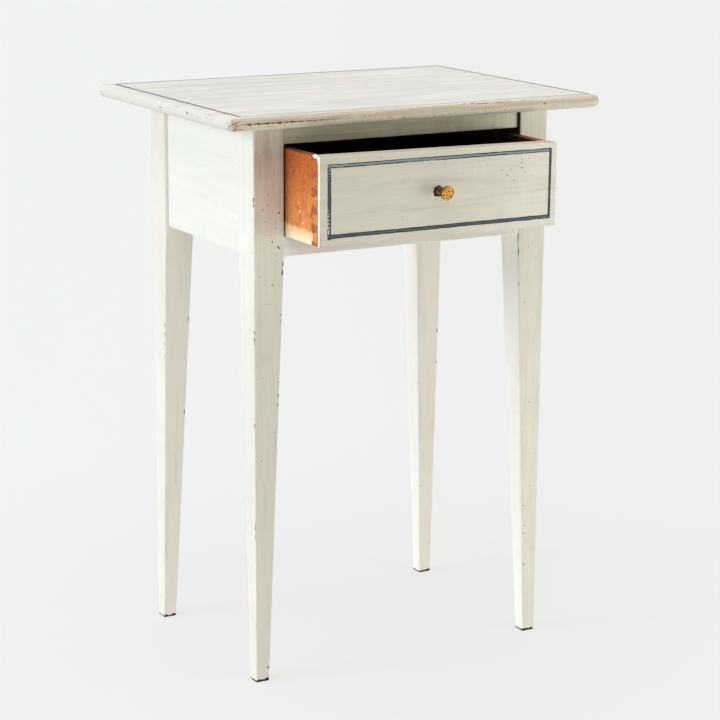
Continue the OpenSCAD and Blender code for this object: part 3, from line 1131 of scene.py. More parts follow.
@dataclass
class Top:
    """The tabletop and the fine blue line painted round it."""

    shop: Shop
    flare: float = 4 * MM
    inset_left: float = 20.5 * MM
    inset_front: float = 13.5 * MM
    inset_back: float = 16 * MM
    inset_right: float = 11 * MM

    def build(self) -> None:
        """Makes the top and its painted border."""
        low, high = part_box("tabletop")
        top = self.shop.board(
            "tabletop_board", low, high, self._finish(low, high), radius=(high.z - low.z) / 2 - 0.1 * MM,
            grain=Grain.X, cell=3.5 * MM, scars=self._scars(low), Front_Flare=self.flare,
            wear=Wear(roll=0.08 * MM, chip_level=0.72, chip_depth=0.3 * MM, sway=0.0, seed=11.0),
        )
        settle(top, Body.TABLE, "cream_paint", "tabletop")
        self._border(low, high)

    @staticmethod
    def _scars(low: Vector) -> list[Scar]:
        """The knocks round the top's edge.

        Each is its place from the front left lower corner, then its reach, in millimetres.
        """
        marks = (
            (2.5, 1.5, 13.5, 3.2, 2.6, 2.0), (1.5, 2.0, 8.5, 2.4, 2.4, 1.8), (8.0, 1.0, 4.6, 3.6, 2.0, 1.4),
            (12.0, 1.0, 8.5, 3.0, 1.6, 1.4), (5.0, 1.0, 10.5, 2.4, 2.0, 1.2), (18.0, 1.0, 3.6, 5.0, 1.6, 1.0),
            (0.0, 66.0, 10.8, 1.6, 3.0, 1.0), (0.0, 121.0, 10.5, 1.6, 4.0, 0.9),
            (0.0, 201.0, 8.8, 1.6, 4.5, 0.9), (334.0, 3.0, 16.2, 5.0, 3.0, 1.2),
            (349.0, 3.0, 16.3, 7.0, 3.0, 1.0), (372.0, 3.0, 16.4, 3.0, 3.0, 1.0),
            (394.0, 3.0, 16.3, 11.0, 3.0, 0.9), (244.0, 0.5, 4.0, 2.4, 2.0, 1.6),
            (249.0, 0.5, 3.2, 2.0, 2.0, 1.0), (426.0, 0.5, 3.6, 2.0, 2.0, 1.2),
            (429.0, 0.0, 7.3, 2.0, 2.0, 1.0), (456.0, 0.0, 10.9, 4.0, 2.0, 0.9),
            (476.0, 0.0, 9.9, 3.0, 2.0, 0.8), (518.0, 0.0, 9.5, 3.0, 2.0, 0.8),
            (538.0, 4.0, 10.0, 2.4, 3.0, 1.6), (205.0, 0.0, 7.6, 6.0, 2.0, 0.7),
            (226.0, 0.0, 6.8, 4.0, 2.0, 0.6),
        )
        return [
            Scar(
                (low.x + x * MM, low.y + y * MM, low.z + z * MM), (rx * MM, ry * MM, rz * MM),
                0.25 * MM, 0.75,
            )
            for x, y, z, rx, ry, rz in marks
        ]

    def _finish(self, low: Vector, high: Vector) -> bpy.types.Material:
        """The top's paint: rubbed along the front edge, with a crack in it on the left."""

        def rubbed_front(g: MaterialGraph) -> Signal:
            """Where hands have rubbed the front edge to the undercoat."""
            y, z = g.place.xyz()[1:]
            front = y.fall(low.y + 2.5 * MM, low.y + 5.5 * MM)
            edge = g.noise(g.grained(Grain.X, 20.0, 60.0), 1.0, 3.0, 0.6, 19.0) * (6 * MM)
            upper = (z + edge).rise(low.z + 9.5 * MM, low.z + 12.5 * MM)
            streaks = g.noise(g.grained(Grain.X, 14.0, 420.0), 1.0, 3.0, 0.6, 17.0).rise(0.34, 0.62)
            thin = g.noise(g.grained(Grain.X, 9.0, 9.0), 1.0, 3.0, 0.6, 27.0).rise(0.3, 0.62)
            return front * upper * (0.12 + streaks * 0.5) * (0.4 + thin * 0.6)

        def handled(g: MaterialGraph, colour: Signal) -> Signal:
            """Dirtier, scratched paint round the left and front edges."""
            z = g.place.xyz()[2]
            nx, ny = g.normal.xyz()[:2]
            left = (0.0 - nx).rise(0.05, 0.5)
            colour = g.mix(left, colour, tint("d9d7ca"))
            scratches = g.noise(g.grained(Grain.Y, 30.0, 520.0), 1.0, 3.0, 0.65, 47.0).rise(0.56, 0.66)
            patches = g.noise(g.place, 26.0, 2.0, 0.5, 49.0).rise(0.46, 0.6)
            colour = g.mix(left * scratches * patches * 0.6, colour, tint("a8a383"))
            grime = g.mix(z.rise(low.z + 6 * MM, low.z + 11 * MM), tint("e0ddc9"), tint("dad2bd"))
            streaks = g.noise(g.grained(Grain.X, 16.0, 560.0), 1.0, 4.0, 0.65, 51.0)
            grime = g.mix(streaks.rise(0.5, 0.68) * 0.55, grime, tint("aba083"))
            grime = g.mix(streaks.fall(0.32, 0.46) * 0.5, grime, tint("f2efe0"))
            return g.mix((0.0 - ny).rise(0.05, 0.45) * 0.95, colour, grime)

        def split(g: MaterialGraph) -> Signal:
            """A split along the front edge at its left end."""
            x, y, z = g.place.xyz()
            line = low.z + 9.2 * MM - (x - low.x) * 0.006
            line = line + (g.noise(g.vector(x * 26.0, 0.0, 0.0), 1.0, 4.0, 0.7) - 0.5) * (4 * MM)
            run = g.noise(g.vector(x * 170.0, 0.0, 0.0), 1.0, 3.0, 0.65, 3.0)
            wide = run.rise(0.34, 0.66) * (1.5 * MM) * x.fall(low.x + 60 * MM, low.x + 190 * MM)
            across = (z - line).size().fall(wide * 0.55, wide + 0.2 * MM)
            along = x.rise(low.x + 12 * MM, low.x + 26 * MM) * x.fall(low.x + 110 * MM, low.x + 250 * MM)
            return across * along * y.fall(low.y + 2 * MM, low.y + 5 * MM)

        def bruised(g: MaterialGraph, colour: Signal) -> Signal:
            """Red wood at the front left corner, orange streaks and black specks along the front."""
            x, y, z = g.place.xyz()
            corner = g.length(g.vector(x - low.x, y - low.y, 0.0)).fall(9 * MM, 15 * MM)
            grit = g.noise(g.place, 420.0, 3.0, 0.65, 53.0)
            colour = g.mix(corner * grit.rise(0.55, 0.62) * 0.6, colour, tint("77714f"))
            flakes = g.noise(g.place, 300.0, 2.0, 0.6, 55.0).rise(0.58, 0.62)
            colour = g.mix(corner * flakes, colour, tint("9c3216"))
            front = y.fall(low.y + 7 * MM, low.y + 9 * MM)
            worn = x.rise(low.x + 312 * MM, low.x + 335 * MM) * x.fall(low.x + 415 * MM, low.x + 430 * MM)
            band = z.rise(high.z - 2.8 * MM, high.z - 2.2 * MM) * z.fall(high.z - 1.3 * MM, high.z - 0.7 * MM)
            broken = g.noise(g.grained(Grain.X, 75.0, 300.0), 1.0, 3.0, 0.65, 57.0).rise(0.46, 0.58)
            colour = g.mix(front * worn * band * broken * 0.75, colour, tint("b5683a"))
            patch = g.noise(g.vector(x * 16.0, 0.0, 0.0), 1.0, 2.0, 0.5, 59.0).rise(0.44, 0.54)
            specks = g.noise(g.grained(Grain.X, 330.0, 560.0), 1.0, 2.0, 0.5, 61.0).rise(0.60, 0.65)
            lower = z.rise(low.z + 3 * MM, low.z + 5 * MM) * z.fall(low.z + 9 * MM, low.z + 13 * MM)
            return g.mix(front * patch * specks * lower * 0.8, colour, tint("4c4630"))

        return PaintedWood(
            "top paint", Grain.X, light=tint("f7f5ee"), dark=tint("deddd3"), cool=tint("e4e5e0"),
            warm=tint("e8ded4"), undercoat=tint("b5937a"), tone=handled, worn_faces=rubbed_front,
            cracks=split, raw=bruised,
        ).build()

    def _border(self, low: Vector, high: Vector) -> None:
        """Paints the four strokes of the border."""
        finish = BrushedLine(
            "top line paint", edge=tint("4d5068"), deep=tint("5a5d78"), pale=tint("b4b6c4"),
            ground=tint("e2e1dc"),
        ).build()
        left, right = low.x + self.inset_left, high.x - self.inset_right
        front, back = low.y + self.inset_front, high.y - self.inset_back
        corners = [
            Vector((x, y, high.z)) for x, y in (
                (left, front), (right + self.flare, front), (right - self.flare / 2, back), (left, back)
            )
        ]
        looks = (
            {"Width": 2.1 * MM, "Pale": 0.7, "Flecks": 0.36},
            {"Width": 3.0 * MM, "Pale": 0.1, "Flecks": 0.05},
            {"Width": 3.0 * MM, "Pale": 0.3, "Flecks": 0.2},
            {"Width": 3.7 * MM, "Pale": -0.2, "Flecks": 0.0},
        )
        strokes = [
            self.shop.stroke(
                f"border_{i}", corners[i], corners[(i + 1) % 4], Vector((0, 0, 1)), finish,
                Waver=0.3 * MM, Seed=40.0 + i, **look,
            )
            for i, look in enumerate(looks)
        ]
        settle(self.shop.join("top_border_line", strokes), Body.TABLE, "cream_paint")


@dataclass
class Legs:
    """Four square legs that taper on their inner faces."""

    shop: Shop
    square: float = 42 * MM
    foot: float = 18 * MM
    radius: float = 2.1 * MM
    cell: float = 2.3 * MM
    coat: float = 0.45 * MM

    def build(self) -> None:
        """Makes the four legs."""
        plain = self._finish("leg paint", self._painted_light_and_shade)
        left = self._finish("left leg paint", self._worn_paint_and_shade)
        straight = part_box("side_apron_left")[0].z
        coat = Vector((self.coat, self.coat, 0.0))
        legs = (
            ("leg_front_left", left, 1.4, 0.6), ("leg_front_right", plain, -2.2, 0.0),
            ("leg_back_left", plain, 1.6, 0.0), ("leg_back_right", plain, 2.2, 0.0),
        )
        for i, (name, finish, lean, fuller) in enumerate(legs):
            low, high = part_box(name)
            outer = Vector((low.x if "left" in name else high.x, low.y if "front" in name else high.y, 0.0))
            high.x += fuller * MM
            leg = self.shop.board(
                name + "_painted", low - coat, high + coat, finish, radius=self.radius, grain=Grain.Z,
                cell=self.cell, scars=self._scars(name, outer, straight),
                wear=Wear(roll=0.35 * MM, chip_level=0.69, reach=3 * MM, sway=0.25 * MM, seed=3.0 + 5.0 * i),
                Taper_Pivot=outer, Foot_Share=self.foot / self.square, Taper_Height=straight,
                Foot_Lean=Vector((lean * MM, 0.0, 0.0)),
            )
            settle(leg, Body.TABLE, "cream_paint", name)

    @staticmethod
    def _worn_paint_and_shade(g: MaterialGraph, colour: Signal) -> Signal:
        """Thin pinkish paint under the top, and darker paint further down as painted shade."""
        z, ny = g.place.xyz()[2], g.normal.xyz()[1]
        stripes = g.noise(g.grained(Grain.Z, 9.0, 70.0), 1.0, 4.0, 0.6, 37.0).rise(0.34, 0.66)
        front = ny.fall(-0.9, -0.6)
        colour = g.mix(z.rise(0.56, 0.70) * front * stripes * 0.45, colour, tint("bb9c86"))
        # Painted shade: the paint darkens further down.
        colour = g.mix(z.fall(0.42, 0.60) * 0.5, colour, tint("d8d4c5"))
        drawn = g.noise(g.grained(Grain.Z, 7.0, 110.0), 1.0, 4.0, 0.65, 39.0)
        colour = g.mix(front * drawn.rise(0.5, 0.7) * z.rise(0.1, 0.3) * 0.35, colour, tint("b4b09b"))
        return g.mix(front * drawn.fall(0.34, 0.46) * 0.3, colour, tint("efede2"))

    @staticmethod
    def _painted_light_and_shade(g: MaterialGraph, colour: Signal) -> Signal:
        """Painted shade on the back left leg's outer face, painted light on the right legs' inner faces and
        the back legs' front faces, and dark streaks down the front faces.
        """
        x, y, z = g.place.xyz()
        nx, ny = g.normal.xyz()[:2]
        # Painted shade: duller paint on the back left leg's outer face, which faces the key light.
        colour = g.mix(nx.fall(-0.9, -0.6) * x.fall(-0.14, -0.10) * 0.35, colour, tint("d6d3c3"))
        # Painted light: paler paint on the right legs' inner faces, more so higher up, where the frame shades
        # them.
        painted_light = nx.fall(-0.9, -0.6) * x.rise(0.10, 0.14) * (0.42 + z.rise(0.38, 0.50) * 0.53)
        colour = g.mix(painted_light, colour, tint("fcf8eb"))
        # Painted light: paler paint on the back legs' front faces.
        colour = g.mix(ny.fall(-0.9, -0.6) * y.rise(0.0, 0.1) * 0.8, colour, tint("f2efe4"))
        drawn = g.noise(g.grained(Grain.Z, 7.0, 110.0), 1.0, 4.0, 0.65, 39.0)
        return g.mix(ny.fall(-0.9, -0.6) * drawn.rise(0.5, 0.7) * 0.25, colour, tint("c3bfab"))

    @staticmethod
    def _finish(name: str, tone: Callable[[MaterialGraph, Signal], Signal]) -> bpy.types.Material:
        """The legs' paint: bare inside the frame and darkened there as painted shade, and worn to dark wood
        at the floor.
        """
        rail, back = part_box("lower_front_rail"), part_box("back_apron")[1].y
        lower_rail, face = rail[1].z, rail[0].y

        def unpainted_and_shaded(g: MaterialGraph, colour: Signal) -> Signal:
            """The bare wood that faces the drawer, darkened as painted shade, and the worn wood at the floor.
            """
            x, y, z = g.place.xyz()
            nx, ny = g.normal.xyz()[:2]
            # Painted shade: bare wood on the inner faces inside the frame, much darker than the bare pine
            # elsewhere, for the dark gap beside the drawer.
            inner = (nx * x.sign()).fall(-0.8, -0.5) * z.rise(lower_rail, lower_rail + 1 * MM)
            inner = inner * y.rise(face, face + 1 * MM) * y.fall(back - 2 * MM, back - 1 * MM)
            colour = g.mix(inner, colour, tint("38261a"))
            ragged = g.noise(g.place, 240.0, 3.0, 0.6, 31.0).rise(0.3, 0.7) * (2.6 * MM)
            worn = (z - ragged - ny.size() * (1.2 * MM)).fall(0.5 * MM, 1.5 * MM)
            return g.mix(worn, colour, tint("20160f"))

        return PaintedWood(name, Grain.Z, tone=tone, raw=unpainted_and_shaded).build()

    def _scars(self, name: str, outer: Vector, straight: float) -> list[Scar]:
        """The knocks that a leg has collected on its front arrises.

        Each is its height, 0 on the outer arris or 1 on the inner one, its length
        and its width, in millimetres.

        Args:
            name: The leg.
            outer: Where its outer arris stands.
            straight: The height at which its taper starts.

        Returns:
            Its scars.
        """
        inward = 1 if "left" in name else -1
        knocks = {
            "leg_front_left": (
                (640, 0, 10, 1.4), (632, 0, 5, 1.2), (470, 0, 6, 1.2), (461, 0, 8, 1.3), (454, 0, 4, 1.2),
                (350, 0, 26, 1.1), (212, 0, 22, 1.4), (198, 0, 24, 1.3), (120, 0, 6, 1.0),
                (555, 1, 8, 2.0), (545, 1, 12, 2.2), (489, 1, 4, 1.6), (481, 1, 6, 1.8), (401, 1, 4, 1.8),
                (385, 1, 4, 1.6), (372, 1, 8, 1.2), (19, 1, 5, 2.0),
            ),
            "leg_back_left": (
                (428, 0, 10, 1.2), (414, 0, 10, 1.2), (400, 0, 8, 1.2), (382, 0, 4, 1.2), (430, 1, 14, 1.4),
                (300, 1, 10, 1.2),
            ),
            "leg_front_right": (
                (558, 1, 30, 0.8), (538, 1, 22, 0.8), (496, 1, 14, 0.6), (470, 0, 40, 1.0), (430, 0, 34, 1.1),
                (395, 0, 18, 1.0), (340, 0, 16, 0.9),
            ),
            "leg_back_right": (
                (374, 0, 8, 1.4), (326, 0, 5, 1.4), (296, 1, 7, 1.3), (281, 1, 6, 1.3), (50, 1, 9, 1.8),
                (42, 1, 5, 1.6), (46, 0, 7, 1.3),
            ),
        }
        scars = []
        for height, inner, long, wide in knocks[name]:
            z = height * MM
            width = self.foot + (self.square - self.foot) * min(z / straight, 1.0)
            x = outer.x + inward * inner * width
            y = outer.y if "front" in name else outer.y - width
            scars.append(Scar((x, y, z), (wide * MM, wide * MM, long / 2 * MM), 0.4 * MM, 0.72))
        return scars


@dataclass
class Carcase:
    """The aprons and rails between the legs, and what the drawer runs on."""

    shop: Shop
    into_leg: float = 3 * MM

    def build(self) -> None:
        """Makes the painted boards and the bare ones inside."""
        self._aprons()
        self._rails()
        self._inside()

    def _aprons(self) -> None:
        """Makes the side aprons and the back one."""
        front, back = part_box("leg_front_left")[1].y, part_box("leg_back_left")[0].y
        left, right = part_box("leg_front_left")[1].x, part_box("leg_front_right")[0].x
        # Painted light: the side aprons' paint has little contrast, copying the washed-out look of the side
        # in the key light.
        side_paint = PaintedWood(
            "side paint", Grain.Y, light=tint("ebe9de"), dark=tint("e5e3d7"), cool=tint("e3e6dc"),
            warm=tint("e8e1d8"),
        ).build()
        back_paint = PaintedWood("back paint", Grain.X).build()
        aprons = (
            ("side_apron_left", 1, front, back, side_paint, Grain.Y),
            ("side_apron_right", 1, front, back, side_paint, Grain.Y),
            ("back_apron", 0, left, right, back_paint, Grain.X),
        )
        for i, (node, axis, near, far, paint, grain) in enumerate(aprons):
            low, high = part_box(node)
            low[axis], high[axis] = near - self.into_leg, far + self.into_leg
            board = self.shop.board(
                node + "_painted", low, high, paint, radius=1.2 * MM, grain=grain,
                wear=Wear(chip_level=0.69, seed=31.0 + i),
            )
            settle(board, Body.TABLE, "cream_paint", node)

    def _rails(self) -> None:
        """Makes the rails above and below the drawer."""
        left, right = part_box("leg_front_left")[1].x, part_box("leg_front_right")[0].x
        # Painted light: the upper rail's paint is paler and yellower than the rest, standing in for light
        # that reaches it under the top.
        shade = PaintedWood(
            "upper rail paint", Grain.X, light=tint("fffce4"), dark=tint("d6d3b6"), cool=tint("d4dcc0"),
            warm=tint("ecdec2"),
        ).build()
        # Painted light: the lower rail's paint is near white, standing in for light that reaches it under the
        # drawer.
        plain = PaintedWood(
            "lower rail paint", Grain.X, light=tint("fdfaf0"), dark=tint("f1ecde"), cool=tint("f2f3e6"),
            warm=tint("f8e3d3"),
        ).build()
        rails = (
            ("upper_front_rail", shade, -0.5 * MM, -1.2 * MM),
            ("lower_front_rail", plain, self.into_leg, self.into_leg),
        )
        for i, (node, paint, into_left, into_right) in enumerate(rails):
            low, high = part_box(node)
            low.x, high.x = left - into_left, right + into_right
            board = self.shop.board(
                node + "_painted", low, high, paint, radius=1.2 * MM, grain=Grain.X, cell=3 * MM,
                wear=Wear(roll=0.3 * MM, chip_level=0.69, seed=43.0 + i),
            )
            settle(board, Body.TABLE, "cream_paint", node)

    def _inside(self) -> None:
        """Eases the bare boards inside the frame."""
        lengthwise = PineWood("bare pine lengthwise", Grain.Y, tint("b98f60"), tint("8a5f38")).build()
        crosswise = PineWood("bare pine crosswise", Grain.X, tint("b98f60"), tint("8a5f38")).build()
        boards = {
            "drawer_runner_left": lengthwise, "drawer_runner_right": lengthwise,
            "drawer_guide_left": lengthwise, "drawer_guide_right": lengthwise,
            "kicker_left": lengthwise, "kicker_right": lengthwise,
            "drawer_stops": crosswise, "top_glue_blocks": crosswise,
        }
        for node, finish in boards.items():
            mesh = eased_copy(node + "_board", self.shop.nodes[node], 0.7 * MM)
            mesh.materials.append(finish)
            settle(new_piece(node + "_board", mesh), Body.TABLE, "bare_pine", node)


@dataclass
class Drawer:
    """The drawer: a painted front with a blue line, and stained dovetailed sides."""

    shop: Shop
    lap: float = 6 * MM

    def build(self) -> None:
        """Makes the drawer's boards, its painted line and its splashes of paint."""
        self._front()
        self._boards()
        self._line()
        self._splashes()

    def _front(self) -> None:
        """Makes the front, whose top edge falls a little to the right."""
        low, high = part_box("drawer_front")
        drop = high.z - self._right_top()
        mesh = eased_copy(
            "drawer_front_painted", self.shop.nodes["drawer_front"], 1.1 * MM, cell=3.5 * MM
        )
        measure_arris(mesh, lambda x: high.z - drop * (x - low.x) / (high.x - low.x))
        piece = new_piece("drawer_front_painted", mesh)

        def top_edge(g: MaterialGraph) -> Signal:
            """Where the top edge is rubbed to the undercoat."""
            up = g.normal.xyz()[2].rise(0.5, 0.9)
            y = g.place.xyz()[1]
            patchy = g.noise(g.grained(Grain.X, 14.0, 220.0), 1.0, 3.0, 0.6, 17.0)
            middle = y.rise(low.y, low.y + 3 * MM) * y.fall(low.y + 9 * MM, high.y - 3 * MM)
            return up * patchy.rise(0.24, 0.52) * (0.35 + middle * 0.6)

        def unpainted_and_shaded(g: MaterialGraph, colour: Signal) -> Signal:
            """The stained ends, darker on the end grain of the pins, and the back, near black as painted
            shade.
            """
            y = g.place.xyz()[1]
            nx, ny = g.normal.xyz()[:2]
            ragged = (g.noise(g.place, 190.0, 4.0, 0.65, 9.0) - 0.5) * (4.5 * MM)
            side = nx.size().rise(0.5, 0.9)
            colour = g.mix(side, colour, tint("f4f3ea"))
            ends = side * (y + ragged).rise(low.y + 3.7 * MM, low.y + 4.4 * MM)
            cloud = g.noise(g.place, 260.0, 3.0, 0.65, 25.0)
            lap = g.mix(cloud.rise(0.3, 0.7), tint("cc6a30"), tint("a54a1c"))
            pins = g.mix(cloud.rise(0.4, 0.64), tint("bf6430"), tint("8c4423"))
            stain = g.mix(y.rise(low.y + self.lap - 0.5 * MM, low.y + self.lap + 1.5 * MM), lap, pins)
            colour = g.mix(ends, colour, stain)
            # Painted shade: the front's inner face is near black, for the shade inside the drawer.
            return g.mix(ny.rise(0.5, 0.9), colour, tint("2a150c"))

        def shaded_left_and_streaks(g: MaterialGraph, colour: Signal) -> Signal:
            """Darker paint on the left two thirds of the face as painted shade, and drawn streaks."""
            x = g.place.xyz()[0]
            cloud = g.noise(g.place, 22.0, 3.0, 0.6, 45.0)
            # Painted shade: the face darkens towards its left.
            colour = g.mix((x + (cloud - 0.5) * 0.2).fall(0.02, 0.14) * 0.5, colour, tint("d5d1bf"))
            drawn = g.noise(g.grained(Grain.X, 8.0, 90.0), 1.0, 4.0, 0.65, 63.0)
            colour = g.mix(drawn.rise(0.5, 0.7) * 0.3, colour, tint("b9b7a0"))
            return g.mix(drawn.fall(0.34, 0.46) * 0.3, colour, tint("f1efe3"))

        finish = PaintedWood(
            "drawer front paint", Grain.X, tone=shaded_left_and_streaks, worn_faces=top_edge, raw=unpainted_and_shaded,
        ).build()
        front = self.shop.weather(
            piece, finish, Grain.X, Wear(roll=0.1 * MM, chip_level=0.69, chip_depth=0.4 * MM, reach=3 * MM,
                                         sway=0.0, seed=51.0)
        )
        knock(front.data, [
            Scar((low.x + 2 * MM, low.y, low.z + 10 * MM), (1.6 * MM, 2 * MM, 3 * MM), 0.4 * MM, 0.8),
            Scar((low.x, low.y, low.z + 3 * MM), (2 * MM, 3 * MM, 3 * MM), 0.4 * MM, 0.6),
            Scar((high.x - 6.5 * MM, low.y, low.z + 5 * MM), (3.0 * MM, 2 * MM, 1.6 * MM), 0.3 * MM, 0.75),
        ])
        settle(front, Body.DRAWER, "cream_paint", "drawer_front")

    def _right_top(self) -> float:
        """The height of the front's top edge at its right end."""
        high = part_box("drawer_front")[1]
        points = point_array(self.shop.nodes["drawer_front"].data)
        at_right = points[points[:, 0] > high.x - 1 * MM]
        return float(at_right[:, 2].max())

    def _boards(self) -> None:
        """Makes the sides, the back and the bottom."""
        low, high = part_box("drawer_side_left")
        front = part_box("drawer_front")[0].y

        def stain_wear_and_shade(g: MaterialGraph, colour: Signal) -> Signal:
            """Paler towards the bottom as painted light, bleached along the foot of the outer faces, and
            darker further back and nearly black inside as painted shade.
            """
            x, y, z = g.place.xyz()
            nx, nz = g.normal.xyz()[::2]
            outer = (nx * x.sign()).rise(0.4, 0.8)
            upright = g.noise(g.grained(Grain.Z, 42.0, 150.0), 1.0, 4.0, 0.65, 41.0)
            # Painted light: the side grows paler orange towards the bottom, for light thrown up from the
            # floor.
            height = (z + (upright - 0.5) * (26 * MM)).rise(low.z + 16 * MM, high.z - 4 * MM)
            colour = g.mix(1.0 - height, colour, tint("e78f49"))
            colour = g.mix(upright.rise(0.42, 0.7) * 0.4, colour, tint("9c4318"))
            dirt = g.noise(g.place, 60.0, 4.0, 0.6, 43.0)
            colour = g.mix(dirt.rise(0.5, 0.72) * 0.45, colour, tint("8a3a16"))
            grit = g.noise(g.place, 520.0, 3.0, 0.65, 65.0)
            colour = g.mix(grit.rise(0.54, 0.68) * 0.4, colour, tint("7c3515"))
            colour = g.mix(grit.fall(0.34, 0.46) * 0.45, colour, tint("f2a766"))
            ragged = g.noise(g.grained(Grain.Z, 40.0, 170.0), 1.0, 4.0, 0.7, 13.0) - 0.5
            ragged = ragged + (grit - 0.5) * 0.5
            foot = (z + ragged * (16 * MM)).fall(low.z + 15 * MM, low.z + 19 * MM)
            clear = (y + ragged * (12 * MM)).rise(front + 16 * MM, front + 18 * MM)
            lower = z.rise(low.z + 2 * MM, low.z + 17 * MM)
            pale = g.mix((lower * 0.7 + upright * 0.4).held(), tint("ffeec8"), tint("e9bd7e"))
            bleached = foot * clear * outer
            colour = g.mix(bleached, colour, pale)
            # Painted shade: darker further back, where the front left leg shades the side, partly darker
            # stain, with a hard painted shadow line at the leg's edge when the drawer is at rest.
            deep = y.rise(front + 45 * MM, front + 110 * MM) * 0.55
            deep = deep.most(y.rise(front + 88 * MM, front + 91 * MM) * 0.8)
            colour = g.mix(deep * (1.0 - bleached * 0.4), colour, tint("451a09"))
            specks = g.noise(g.place, 420.0, 2.0, 0.5, 23.0).rise(0.7, 0.74) * (1.0 - foot)
            colour = g.mix(specks * 0.6 * outer, colour, tint("5a2814"))
            # Painted shade: the inner faces are near black and the top edges dark, both darker further back.
            upper_edge = nz.rise(0.6, 0.9)
            inner = (1.0 - outer) * (1.0 - upper_edge)
            near = y.fall(front + 20 * MM, front + 110 * MM)
            colour = g.mix(inner, colour, g.mix(near, tint("1d0e08"), tint("552a1a")))
            return g.mix(upper_edge * 0.7, colour, g.mix(near, tint("4a2a18"), tint("8c5c40")))

        stain = PineWood(
            "stained pine", Grain.Y, tint("c26324"), tint("b25419"), rough=0.55, figure=0.0,
            overlay=stain_wear_and_shade,
        ).build()
        # Painted shade: the back and the bottom are near-black pine, standing in for the shade inside the
        # drawer.
        inside = PineWood("dark pine", Grain.X, tint("2e170e"), tint("1c0d07"), rough=0.75).build()
        for node, finish in (
            ("drawer_side_left", stain), ("drawer_side_right", stain), ("drawer_back", inside),
            ("drawer_bottom", inside),
        ):
            mesh = eased_copy(node + "_board", self.shop.nodes[node], 0.6 * MM)
            mesh.materials.append(finish)
            settle(new_piece(node + "_board", mesh), Body.DRAWER, "stained_pine", node)

    def _line(self) -> None:
        """Paints the four strokes round the front."""
        low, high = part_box("drawer_front")
        finish = BrushedLine(
            "drawer line paint", edge=tint("1b2630"), deep=tint("404d56"), pale=tint("96a4a6"),
            ground=tint("dedccf"),
        ).build()
        left, right = low.x + 13.6 * MM, high.x - 10.2 * MM
        bottom, top_left, top_right = low.z + 12.5 * MM, high.z - 12.5 * MM, self._right_top() - 9.1 * MM
        half = 2.4 * MM
        strokes = (
            ("left", (left, bottom - 4 * MM), (left, top_left + half), 5.0, 0.12, 0.36),
            ("top", (left - half, top_left), (right + 1.5 * MM, top_right), 4.8, 0.9, 0.12),
            ("right", (right, top_right + half), (right - 0.6 * MM, bottom - half), 3.7, -0.5, 0.0),
            ("bottom", (right + 1.5 * MM, bottom), (left - half, bottom), 5.0, 0.12, 0.1),
        )
        painted = [
            self.shop.stroke(
                "line_" + name, Vector((a[0], low.y, a[1])), Vector((b[0], low.y, b[1])),
                Vector((0, -1, 0)), finish, Width=width * MM, Waver=0.4 * MM, Pale=pale, Flecks=flecks,
                Lift=(0.10 + 0.03 * i) * MM, Seed=60.0 + i,
            )
            for i, (name, a, b, width, pale, flecks) in enumerate(strokes)
        ]
        settle(self.shop.join("drawer_front_line", painted), Body.DRAWER, "cream_paint")

    def _splashes(self) -> None:
        """Spills drops of paint on the left side and on its top corner."""
        low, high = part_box("drawer_side_left")
        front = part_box("drawer_front")[0].y
        paint = PaintedWood("spilled paint", Grain.Z, light=tint("f6f5f0"), dark=tint("e6e4dc")).build()
        drops = [(51, 38), (43, 24), (41, 37.5), (54, 48), (9, 60.5), (56, 34.5)]
        sizes = (3.4, 3.0, 1.6, 1.3, 2.2, 1.2)
        pieces = [
            self.shop.dots(
                f"drop_{i}", [(low.x, front + back * MM, low.z + up * MM)], paint, (-1.0, 0.0, 0.0),
                size * MM, 70 + i, 0.7 * MM, 0.35,
            )
            for i, ((back, up), size) in enumerate(zip(drops, sizes))
        ]
        corner = [(3.5, 0.5), (6.0, 0.2), (9.0, -0.3), (12.0, -0.6), (15.5, -0.4), (2.5, 2.5), (4.0, 4.0)]
        rim = [
            (low.x + 0.2 * MM, front + back * MM, high.z - down * MM) for back, down in corner
        ]
        pieces.append(
            self.shop.dots("drop_corner", rim, paint, (-1.0, 0.0, 0.3), 4.2 * MM, 81, 1.1 * MM, 0.4)
        )
        settle(self.shop.join("drawer_paint_splashes", pieces), Body.DRAWER, "cream_paint")


